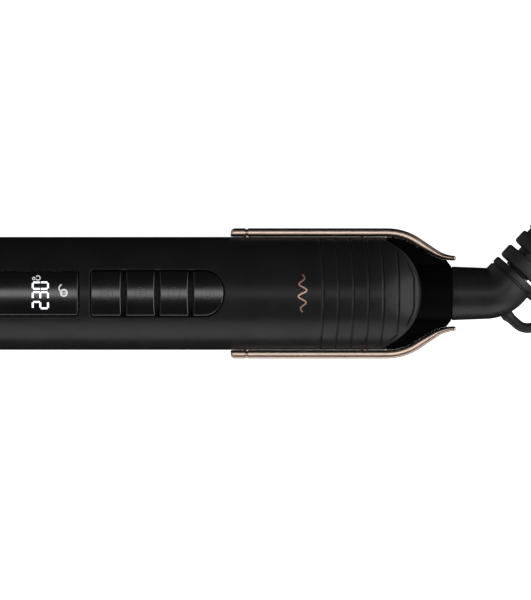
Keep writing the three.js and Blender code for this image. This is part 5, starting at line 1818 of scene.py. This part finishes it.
    def build_loop(self, bench: Bench) -> None:
        """Builds the hanging loop, whose feet widen onto the elbow."""
        line = self.line
        end, ahead, left = line.at(line.length)
        centre = end - ahead * (self.loop_half + self.tube_radius + SLIP)
        out = -left
        foot = self.loop_foot
        path, radii = [], []
        for rise in np.linspace(foot, self.loop_leg, 12):
            path.append(centre - ahead * self.loop_half + out * rise)
            radii.append(self.tube_radius + 0.45 * max(0.0, 1 - abs(rise - foot - 2.2) / 2.6) ** 2)
        for angle in np.radians(np.linspace(0, 180, 33)[1:-1]):
            over = self.loop_leg + self.loop_half * math.sin(angle)
            path.append(centre - ahead * self.loop_half * math.cos(angle) + out * over)
            radii.append(self.tube_radius)
        for rise, radius in zip(np.linspace(self.loop_leg, foot, 12), radii[:12][::-1]):
            path.append(centre + ahead * self.loop_half + out * rise)
            radii.append(radius)
        loop = wire(np.array(path), np.array(radii), 32)
        loop.cut(self._elbow_body(0.04))
        bench.fit(loop, "cord_loop", Body.SWIVEL, Slot.BLACK_RUBBER, replaces=("hanging_loop",), smooth=50)

    def build(self, bench: Bench) -> None:
        """Builds the elbow, the sleeve and the loop."""
        self.build_elbow(bench)
        self.build_relief(bench)
        self.build_loop(bench)


# --- Front end ---


@dataclass
class FrontCollar:
    """The collar that carries the barrel, and the rose-gold trim ring between it and the handle."""

    layout: Layout
    wall_step: float = 2.2
    ring_edge: float = 0.4
    lip: float = 0.7
    taper: float = 0.8
    groove: float = 0.45
    groove_places: tuple[float, float] = (3.0, 4.4)
    edge: float = 0.3
    way: float = 10.4
    stand_hole: float = 1.4
    screw_hole: float = 1.3

    def build(self, bench: Bench) -> None:
        """Builds the trim ring and the collar."""
        layout = self.layout
        low, high = box_mm("trim_ring")
        outer = high[1]
        bore = layout.radius - self.wall_step
        edge = quarter(self.ring_edge)
        profile = [(low[0], bore), *[(low[0] + x, outer - r) for x, r in edge]]
        profile += [*[(high[0] - x, outer - r) for x, r in reversed(edge)], (high[0], bore), (low[0], bore)]
        ring = layout.lathe(profile, 128).common(self._above_flat())
        bench.fit(ring, "trim_band", Body.HANDLE, Slot.ROSE_GOLD, replaces=("trim_ring",), smooth=40)
        self._build_collar(bench, low[0] - SLIP)

    def _above_flat(self) -> Solid:
        """Returns a block over the flat underside, in front of the origin."""
        return block((-200, -60, 0), (0, 60, 60))

    def _build_collar(self, bench: Bench, back: float) -> None:
        """Builds the collar.

        Args:
            bench: Where it is fitted.
            back: Place along X of its shoulder.
        """
        layout = self.layout
        low, high = box_mm("barrel_collar")
        barrel_high = box_mm("barrel")[1]
        radius = high[1]
        seat = barrel_high[1] + SLIP
        front_radius = radius - self.taper
        profile = [(low[0], seat), *[(low[0] + x, front_radius - r) for x, r in quarter(self.lip, 6)]]
        slope = self.taper / (back - low[0])
        for start in (low[0] + place for place in self.groove_places):
            ground = front_radius + slope * (start - low[0])
            for x, depth in ((-0.4, 0.0), (-0.2, 0.8), (0.0, 1.0), (0.2, 0.8), (0.4, 0.0)):
                profile.append((start + x, ground - depth * self.groove))
        spigot, edge = layout.radius - self.wall_step - SLIP, self.edge
        profile += [(back - edge, radius), (back, radius - edge), (back, spigot), (high[0] - edge, spigot)]
        profile += [(high[0], spigot - edge), (high[0], self.way), (barrel_high[0] + SLIP, self.way)]
        profile += [(barrel_high[0] + SLIP, seat), (low[0], seat)]
        collar = layout.lathe(profile, 128)
        stand = pivot_mm("stand_hinge")
        screw_x = middle_x("bracket_screw")
        screw_low, screw_high = box_mm("bracket_screw")
        ways = [rod((stand[0], -30, stand[2]), (stand[0], 30, stand[2]), self.stand_hole, 24)]
        screw_ends = (screw_x, 0, screw_low[2] - SLIP), (screw_x, 0, screw_high[2] + 5)
        ways.append(rod(*screw_ends, self.screw_hole, 24))
        collar.common(self._above_flat())
        collar.cut(*ways)
        bench.fit(collar, "collar", Body.HANDLE, Slot.SOFT_TOUCH, replaces=("barrel_collar",), smooth=40)


@dataclass
class HotBarrel:
    """The coated barrel, the rose-gold ring at its end and the cool tip."""

    layout: Layout
    wall: float = 1.1
    end_round: float = 0.35
    tip_round: float = 7.0
    tip_grooves: int = 4
    groove_pitch: float = 2.3
    groove_depth: float = 0.5
    first_groove: float = 2.6
    tip_wall: float = 2.4

    def build(self, bench: Bench) -> None:
        """Builds the barrel, its ring and the tip."""
        layout = self.layout
        for node, name, slot, wall in (
            ("barrel", "hot_barrel", Slot.BARREL_COAT, self.wall),
            ("tip_ring", "tip_band", Slot.ROSE_GOLD, self.wall + 0.2),
        ):
            low, high = box_mm(node)
            outer, bore, cut = high[1], high[1] - wall, self.end_round
            profile = [(low[0], bore), (low[0], outer - cut), (low[0] + 0.3 * cut, outer - 0.3 * cut)]
            profile += [(low[0] + cut, outer), (high[0] - cut, outer)]
            profile += [(high[0] - 0.3 * cut, outer - 0.3 * cut), (high[0], outer - cut)]
            profile += [(high[0], bore), (low[0], bore)]
            tube = layout.lathe(profile, 128)
            bench.fit(tube, name, Body.HANDLE, slot, replaces=(node,), smooth=40)
        self._build_tip(bench)

    def _build_tip(self, bench: Bench) -> None:
        """Builds the cool tip with grooves for the fingers."""
        layout = self.layout
        low, high = box_mm("tip_cap")
        radius = high[1]
        back = box_mm("tip_ring")[0][0] - SLIP
        bore = box_mm("barrel")[1][1] - self.wall
        wall = self.tip_wall
        profile = [(high[0], bore - wall), (high[0], bore - SLIP - 0.3), (high[0] - 0.3, bore - SLIP)]
        profile += [(back, bore - SLIP), (back, radius - 0.3), (back - 0.1, radius - 0.1)]
        profile += [(back - 0.3, radius)]
        for i in range(self.tip_grooves):
            x = back - self.first_groove - i * self.groove_pitch
            for offset, depth in ((0.6, 0.0), (0.3, 0.75), (0.0, 1.0), (-0.3, 0.75), (-0.6, 0.0)):
                profile.append((x + offset, radius - depth * self.groove_depth))
        for angle in np.radians(np.linspace(0, 90, 13)):
            sink = self.tip_round * (1 - math.cos(angle))
            profile.append((low[0] + self.tip_round * (1 - math.sin(angle)), radius - sink))
        profile += [(low[0], 0.05), (low[0] + wall, 0.05), (low[0] + wall, radius - self.tip_round - 1)]
        profile += [(low[0] + self.tip_round, bore - wall), (high[0], bore - wall)]
        tip = layout.lathe(profile, 96)
        bench.fit(tip, "cool_tip", Body.HANDLE, Slot.SOFT_TOUCH, replaces=("tip_cap",), smooth=40)


# --- Clamp and stand ---


@dataclass
class Clamp:
    """The sprung clamp: saddle, pin and spring on the handle; blade, lever, rivets and pad that turn."""

    layout: Layout
    ear_inside: float = 6.8
    ear_thickness: float = 1.6
    ear_radius: float = 3.0
    saddle_reach: tuple[float, float] = (5.0, 9.0)
    saddle_top: float = 3.9
    saddle_depth: float = 6.0
    saddle_edge: float = 0.22
    pin_hole: float = 1.35
    screw_hole: float = 1.3
    rivet_hole: float = 1.05
    spread: float = math.radians(62)
    tip_corner: float = 6.0
    back_corner: float = 3.0
    tip_lift: float = 1.1
    lift_run: float = 10.0
    blade_thickness: float = 0.9
    blade_edge: float = 0.16
    blade_bevel: float = 0.18
    strap: float = 1.4
    strap_half: float = 6.4
    strap_raise: float = 2.7
    lever_rise: float = math.radians(24)
    lever_length: float = 31.0
    lever_flat: float = 20.0
    lever_bend: float = 2.6
    lever_corner: float = 3.5
    cheek_radius: float = 2.6
    coil_radius: float = 1.95
    coil_wire: float = 0.45
    coil_turns: int = 6
    pad_half: float = 9.0
    pad_front: float = -19.0
    pad_back: float = 3.0
    pad_thickness: float = 2.6
    pad_dish: float = 0.75
    rib_height: float = 0.45
    rib_pitch: float = 2.4
    rib_fade: float = 1.2
    ribs: tuple[float, float, float] = (4.2, 6.5, 16.6)  # behind the pad's front: start, a crest, end

    def __post_init__(self) -> None:
        """Reads the pin's place from the frame."""
        self.pin_x, _, self.pin_z = pivot_mm("clamp_hinge")
        self.lever_end = (
            self.pin_x + self.lever_length * math.cos(self.lever_rise),
            self.pin_z + self.strap_raise + self.lever_length * math.sin(self.lever_rise),
        )

    def build_bracket(self, bench: Bench) -> None:
        """Builds the saddle with its two ears."""
        x, z = self.pin_x, self.pin_z
        half = self.ear_inside + self.ear_thickness
        collar_radius = box_mm("barrel_collar")[1][1]
        ahead, behind = self.saddle_reach
        bottom = self.layout.axis_z + collar_radius - self.saddle_depth
        foot = block((x - ahead, -half, bottom), (x + behind, half, z - self.saddle_top))
        ear = [(x - 4, z - 4.5), (x + 7, z - 4.5), (x + 2.8, z + 1.2)]
        ear += arc((x, z), self.ear_radius, 24, 180, 14)
        ears = [side_prism(ear, y, y + self.ear_thickness) for y in (self.ear_inside, -half)]
        saddle = foot.join(*ears)
        screw_x = middle_x("bracket_screw")
        saddle.cut(
            rod(self.layout.at_axis(x - 30), self.layout.at_axis(x + 40), collar_radius + SLIP, 128),
            rod((x, -20, z), (x, 20, z), self.pin_hole, 24),
            rod((screw_x, 0, z - 12), (screw_x, 0, z + 2), self.screw_hole, 24),
        )
        saddle.rounded(self.saddle_edge, 2, 50)
        bench.fit(saddle, "clamp_saddle", Body.HANDLE, Slot.STEEL, replaces=("clamp_bracket",))

    def build_pin(self, bench: Bench) -> None:
        """Builds the hinge pin with its domed heads."""
        low, high = box_mm("clamp_pin")
        head = (high[2] - low[2]) / 2
        length = high[1] - low[1]
        dome = [(0.0, 0.35 * head), (0.18, 0.75 * head), (0.5, 0.96 * head), (0.8, head), (1.0, head)]
        dome.append((1.0, 1.2))
        profile = dome + [(length - x, r) for x, r in reversed(dome)]
        pin = turned(profile, 32, along(Vector((0, 1, 0)), (self.pin_x, low[1], self.pin_z)))
        bench.fit(pin, "hinge_pin", Body.HANDLE, Slot.STEEL, replaces=("clamp_pin",))

    def build_spring(self, bench: Bench) -> None:
        """Builds the torsion spring round the pin."""
        half = self.strap_half - 2 * self.strap
        steps = 20
        path = []
        for i in range(self.coil_turns * steps + 1):
            angle = -math.pi / 2 + 2 * math.pi * i / steps
            y = -half + 2 * half * i / (self.coil_turns * steps)
            x, z = self.coil_radius * math.cos(angle), self.coil_radius * math.sin(angle)
            path.append((self.pin_x + x, y, self.pin_z + z))
        low = self.pin_z - self.coil_radius
        feet = [(self.pin_x - 3.6, -half, low + 0.1), (self.pin_x - 2.4, -half, low)]
        ends = [(self.pin_x + 2.5, half, low + 0.2), (self.pin_x + 5, half, low + 0.6)]
        whole, radii = round_tipped(np.array([*feet, *path, *ends]), self.coil_wire)
        coil = wire(whole, radii, 14)
        bench.fit(coil, "torsion_spring", Body.HANDLE, Slot.STEEL, replaces=("clamp_spring",))

    def build_blade(self, bench: Bench) -> None:
        """Builds the blade with round corners and a lifted tip."""
        low, high = box_mm("clamp_blade")
        outer = high[2] - self.layout.axis_z
        inner = outer - self.blade_thickness
        edge, bevel = self.blade_edge, self.blade_bevel
        share = np.sin(np.linspace(-math.pi / 2, math.pi / 2, 57))
        length = outer * self.spread
        sheets = []
        for radius, margin in ((inner, -bevel), (inner + edge, 0.0), (outer - edge, 0.0), (outer, -bevel)):
            half = length + margin

            def inset(corner: float, half: float = half) -> Array:
                """How far the rows lie inside the blade's end."""
                past = np.clip(np.abs(share * half) - (half - corner), 0, corner)
                return corner - np.sqrt(corner**2 - past**2)

            first = low[0] - margin + inset(self.tip_corner)
            last = high[0] + margin - inset(self.back_corner)
            x = first[:, None] + (last - first)[:, None] * np.linspace(0, 1, 49) ** 1.6
            turn = math.pi / 2 - (share * half / outer)[:, None] + 0 * x
            lift = self.tip_lift * np.clip(1 - (x - low[0]) / self.lift_run, 0, 1) ** 2
            y = (radius + lift) * np.cos(turn)
            sheets.append(np.stack([x, y, self.layout.axis_z + (radius + lift) * np.sin(turn)], axis=2))
        blade = stacked(sheets)
        blade.cut(*[rod((x, 0, 20), (x, 0, 45), self.rivet_hole, 20) for x in self._rivet_places()])
        bench.fit(blade, "blade", Body.CLAMP, Slot.BLADE_COAT, replaces=("clamp_blade",), smooth=40)

    def _rivet_places(self) -> list[float]:
        """The rivets' places along X."""
        return [middle_x(f"clamp_rivet_{i}") for i in (1, 2)]

    def build_lever(self, bench: Bench) -> None:
        """Builds the bent strap with its cheeks round the pin."""
        low = box_mm("clamp_lever")[0]
        rest = box_mm("clamp_blade")[1][2] + SLIP
        x, z = self.pin_x, self.pin_z
        corners = [(low[0], 0, rest), (low[0] + self.lever_flat, 0, rest), (x - 3.6, 0, z + self.strap_raise)]
        corners += [(x, 0, z + self.strap_raise), (self.lever_end[0], 0, self.lever_end[1])]
        line = smooth_corners(corners, self.lever_bend, 8) + (0, 0, self.strap / 2)
        ahead = headings(line)
        ups = np.column_stack([-ahead[:, 2], np.zeros(len(line)), ahead[:, 0]])
        section = rounded_box(self.strap_half, self.strap / 2, 0.35, 3)
        pairs = zip(line, ups)
        loops = [np.array([spot + (0, y, 0) + up * rise for y, rise in section]) for spot, up in pairs]
        strap = rings(loops)
        corner, reach = self.lever_corner, 80.0
        plan = arc((low[0] + corner, self.strap_half - corner), corner, 90, 180, 8)
        plan += arc((low[0] + corner, corner - self.strap_half), corner, 180, 270, 8)
        plan += [(low[0] + reach, -self.strap_half - 0.01), (low[0] + reach, self.strap_half + 0.01)]
        strap.common(prism(plan, 0, 100))
        radius = self.cheek_radius
        cheek = [*arc((x, z), radius, 180, 360, 16), (x + radius, z + 3), (x - radius, z + 3)]
        inside = self.strap_half - self.strap
        strap.join(*[side_prism(cheek, y, y + self.strap) for y in (inside, -self.strap_half)])
        holes = [rod((x, -12, z), (x, 12, z), self.pin_hole, 24)]
        for place in self._rivet_places():
            holes.append(rod((place, 0, rest - 2), (place, 0, rest + 4), self.rivet_hole, 20))
        strap.cut(*holes)
        bench.fit(strap, "lever", Body.CLAMP, Slot.STEEL, replaces=("clamp_lever",), smooth=40)

    def build_rivets(self, bench: Bench) -> None:
        """Builds the two domed rivets."""
        for i in (1, 2):
            low, high = box_mm(f"clamp_rivet_{i}")
            x = (low[0] + high[0]) / 2
            head, top = (high[0] - low[0]) / 2, high[2] - low[2]
            profile = [(0.0, 0.85), (0.15, 1.0), (top - 0.8, 1.0), (top - 0.8, head), (top - 0.65, head)]
            profile += [(top - 0.3, 0.84 * head), (top - 0.08, 0.5 * head), (top, 0.15 * head)]
            rivet = turned(profile, 32, along(Vector((0, 0, 1)), (x, 0, low[2])))
            bench.fit(rivet, f"rivet_{i}", Body.CLAMP, Slot.STEEL, replaces=(f"clamp_rivet_{i}",))

    def build_pad(self, bench: Bench) -> None:
        """Builds the dished thumb pad with its ribs."""
        share = np.sin(np.linspace(-math.pi / 2, math.pi / 2, 41))
        base = self.strap / 2 + SLIP
        sheets = []
        levels = ((0.0, -0.25), (0.25, 0.0), (0.62, 0.0), (0.86, -0.25), (0.96, -0.6), (1.0, -1.1))
        for rise, margin in levels:
            half = self.pad_half + margin
            past = np.abs(share) * half
            last = self.pad_back - self.pad_half + np.sqrt(np.maximum(half**2 - past**2, 0))
            corner = 3.0 + margin
            beyond = np.clip(past - (half - corner), 0, corner)
            first = self.pad_front - margin + corner - np.sqrt(corner**2 - beyond**2)
            x = first[:, None] + (last - first)[:, None] * np.linspace(0, 1, 121)
            y = (share * half)[:, None] + 0 * x
            z = np.full_like(x, base + rise * self.pad_thickness)
            if rise == 1.0:
                inside = np.clip(1 - (y / half) ** 2, 0, 1) * np.clip((x - first[:, None]) / 3, 0, 1)
                inside *= np.clip((last[:, None] - x) / 3, 0, 1)
                start, crest, end = self.ribs
                ribs = 0.5 + 0.5 * np.cos(2 * math.pi * (x - self.pad_front - crest) / self.rib_pitch)
                span = np.clip((x - self.pad_front - start) / self.rib_fade, 0, 1)
                span = span * np.clip((self.pad_front + end - x) / self.rib_fade, 0, 1)
                z += np.clip(inside, 0, 1) * (-self.pad_dish + self.rib_height * ribs * span)
            sheets.append(np.stack([x, y, z], axis=2))
        lean = Matrix.Rotation(-self.lever_rise, 4, "Y")
        place = Matrix.Translation((self.lever_end[0], 0, self.lever_end[1] + self.strap / 2 + SLIP)) @ lean
        pad = stacked([placed(sheet.reshape(-1, 3), place).reshape(sheet.shape) for sheet in sheets])
        bench.fit(pad, "lever_pad", Body.CLAMP, Slot.SOFT_TOUCH, replaces=("thumb_pad",), smooth=50)

    def build(self, bench: Bench) -> None:
        """Builds every piece of the clamp."""
        self.build_bracket(bench)
        CrossScrew("bracket_screw", 1.9, 1.0, 1.0, 0.8, 0.5).build(bench)
        self.build_pin(bench)
        self.build_spring(bench)
        self.build_blade(bench)
        self.build_lever(bench)
        self.build_rivets(bench)
        self.build_pad(bench)


@dataclass
class Stand:
    """The folding wire stand along the underside of the barrel."""

    wire_radius: float = 1.1
    toe_in: float = 4.0
    corner: float = 3.2

    def build(self, bench: Bench) -> None:
        """Builds the bent wire with its ends in the collar's holes."""
        low, high = box_mm("stand")
        hinge = pivot_mm("stand_hinge")
        side = high[1] - self.wire_radius
        foot_x, foot_z = low[0] + self.wire_radius, low[2] + self.wire_radius
        hole = side - self.toe_in
        half = [(hinge[0], hole, hinge[2]), (hinge[0], side, hinge[2]), (foot_x, side - self.toe_in, foot_z)]
        corners = [*half, *[(x, -y, z) for x, y, z in reversed(half)]]
        path, radii = round_tipped(smooth_corners(corners, self.corner, 10), self.wire_radius)
        bench.fit(wire(path, radii, 24), "stand_wire", Body.STAND, Slot.STEEL, replaces=("stand",), smooth=50)


# --- Studio ---


@dataclass(frozen=True)
class Softbox:
    """One rectangular studio lamp."""

    name: str
    place: tuple[float, float, float]
    target: tuple[float, float, float]
    size: tuple[float, float]
    radiance: float

    def build(self) -> None:
        """Adds the lamp, hidden from the camera."""
        data = bpy.data.lights.new(self.name, "AREA")
        data.shape = "RECTANGLE"
        data.size, data.size_y = self.size
        data.energy = self.radiance * math.pi * self.size[0] * self.size[1]
        lamp = bpy.data.objects.new(self.name, data)
        bpy.context.scene.collection.objects.link(lamp)
        lamp.location = self.place
        way = Vector(self.target) - Vector(self.place)
        lamp.rotation_euler = way.to_track_quat("-Z", "Y").to_euler()
        lamp.visible_camera = False


@dataclass
class Studio:
    """The floor, the room, the lamps and the camera.

    Soft light comes from above, from one side and from over the cord's end; the camera looks straight down.
    """

    layout: Layout
    centre: tuple[float, float] = (27.63, -2.22)
    lens: float = 400.0
    picture: float = 201.75
    floor_half: float = 12.0
    floor_place: float = -0.0002
    floor_glow: float = 0.95
    end_walls: float = 0.45

    def build(self) -> None:
        """Builds the floor, the lamps, the sky and the camera."""
        self._build_floor()
        lamps = (
            Softbox("top_softbox", (0.0, 0.0, 0.9), (0.0, 0.0, 0.0), (1.0, 0.2), 2.3),
            Softbox("side_softbox", (0.0, -1.0, 0.15), (0.0, 0.0, 0.02), (1.6, 0.8), 1.65),
            Softbox("back_softbox", (0.95, -0.1, 0.62), (0.06, 0.0, 0.02), (1.1, 1.1), 2.5),
        )
        for lamp in lamps:
            lamp.build()
        self._build_sky()
        self._build_camera()
        bpy.context.scene.view_settings.view_transform = "Standard"

    def _build_floor(self) -> None:
        """Adds the pale floor, which the iron neither mirrors nor shades."""
        half = self.floor_half
        mesh = bpy.data.meshes.new("floor")
        plan = ((-half, -half), (half, -half), (half, half), (-half, half))
        corners = [(x, y, self.floor_place) for x, y in plan]
        mesh.from_pydata(corners, [], [(0, 1, 2, 3)])
        floor = bpy.data.objects.new("floor", mesh)
        bpy.context.scene.collection.objects.link(floor)
        graph = NodeGraph("pale_floor")
        pale = graph.blend(graph.span(graph.noise(60.0), 0, 1), (0.9, 0.9, 0.9), (0.93, 0.93, 0.93))
        graph.drive("Base Color", pale)
        graph.drive("Emission Color", pale)
        graph.set("Emission Strength", self.floor_glow)
        graph.set("Roughness", 0.9)
        graph.set("Specular IOR Level", 0.0)
        mesh.materials.append(graph.material)
        floor.visible_glossy = False
        floor.visible_diffuse = False
        floor.visible_shadow = False

    def _build_sky(self) -> None:
        """Makes the room: dim, with paler walls at the iron's ends, and white where the camera sees it."""
        world = bpy.data.worlds.new("room")
        bpy.context.scene.world = world
        world.use_nodes = True
        tree = world.node_tree
        tree.nodes.clear()
        place = tree.nodes.new("ShaderNodeTexCoord").outputs["Generated"]
        split = tree.nodes.new("ShaderNodeSeparateXYZ")
        tree.links.new(place, split.inputs["Vector"])
        ramp = tree.nodes.new("ShaderNodeValToRGB")
        tree.links.new(split.outputs["Z"], ramp.inputs["Fac"])
        stops = ((0.0, 0.004), (0.12, 0.012), (0.62, 0.03), (1.0, 0.04))
        while len(ramp.color_ramp.elements) < len(stops):
            ramp.color_ramp.elements.new(0.5)
        for element, (place_on_ramp, level) in zip(ramp.color_ramp.elements, stops):
            element.position = place_on_ramp
            element.color = (level, level, level, 1.0)
        ends = tree.nodes.new("ShaderNodeMath")
        ends.operation = "ABSOLUTE"
        tree.links.new(split.outputs["X"], ends.inputs[0])
        wall = tree.nodes.new("ShaderNodeMapRange")
        wall.interpolation_type = "SMOOTHSTEP"
        tree.links.new(ends.outputs[0], wall.inputs["Value"])
        limits = (("From Min", 0.3), ("From Max", 0.75), ("To Min", 0.0), ("To Max", self.end_walls))
        for socket, value in limits:
            wall.inputs[socket].default_value = value
        total = tree.nodes.new("ShaderNodeMath")
        tree.links.new(ramp.outputs["Color"], total.inputs[0])
        tree.links.new(wall.outputs["Result"], total.inputs[1])
        room, page = tree.nodes.new("ShaderNodeBackground"), tree.nodes.new("ShaderNodeBackground")
        tree.links.new(total.outputs[0], room.inputs["Strength"])
        room.inputs["Color"].default_value = (1.0, 1.0, 1.0, 1.0)
        page.inputs["Color"].default_value = (0.95, 0.95, 0.95, 1.0)
        choice = tree.nodes.new("ShaderNodeMixShader")
        seen = tree.nodes.new("ShaderNodeLightPath").outputs["Is Camera Ray"]
        output = tree.nodes.new("ShaderNodeOutputWorld")
        for source, target in (
            (seen, choice.inputs[0]),
            (room.outputs[0], choice.inputs[1]),
            (page.outputs[0], choice.inputs[2]),
            (choice.outputs[0], output.inputs["Surface"]),
        ):
            tree.links.new(source, target)

    def _build_camera(self) -> None:
        """Adds the camera, straight above the handle's rear with the cord's end to the right."""
        data = bpy.data.cameras.new("camera")
        data.lens = self.lens
        data.sensor_width = 36.0
        data.clip_start, data.clip_end = 0.1, 20.0
        camera = bpy.data.objects.new("camera", data)
        bpy.context.scene.collection.objects.link(camera)
        distance = self.picture * self.lens / data.sensor_width
        camera.location = Vector((*self.centre, self.layout.axis_z + distance)) * MM
        bpy.context.scene.camera = camera


# --- The whole iron ---


def build_buttons(layout: Layout, bench: Bench) -> None:
    """Builds the row of four buttons."""
    Button(layout, "ion_button", Body.ION_KEY, first=True).build(bench)
    Button(layout, "plus_button", Body.PLUS_KEY).build(bench)
    Button(layout, "minus_button", Body.MINUS_KEY).build(bench)
    Button(layout, "power_button", Body.POWER_KEY, last=True).build(bench)


def main() -> None:
    """Builds the studio and every sub-assembly, in order."""
    logging.basicConfig(level=logging.INFO, format="%(message)s")
    layout = Layout.from_frame()
    bench = Bench()
    Studio(layout).build()
    Housing(layout).build(bench)
    for i in (1, 2, 3):
        CrossScrew(f"housing_screw_{i}", 2.7, 1.8, 1.3).build(bench)
    line = FlankLine(layout)
    Tail(line).build(bench)
    SideRail(line, 1).build(bench)
    SideRail(line, -1).build(bench)
    Display(layout).build(bench)
    build_buttons(layout, bench)
    WaveMark(layout).build(bench)
    CordSwivel(layout).build(bench)
    FrontCollar(layout).build(bench)
    HotBarrel(layout).build(bench)
    Clamp(layout).build(bench)
    Stand().build(bench)
    bench.dress_nodes()


if __name__ == "__main__":
    main()
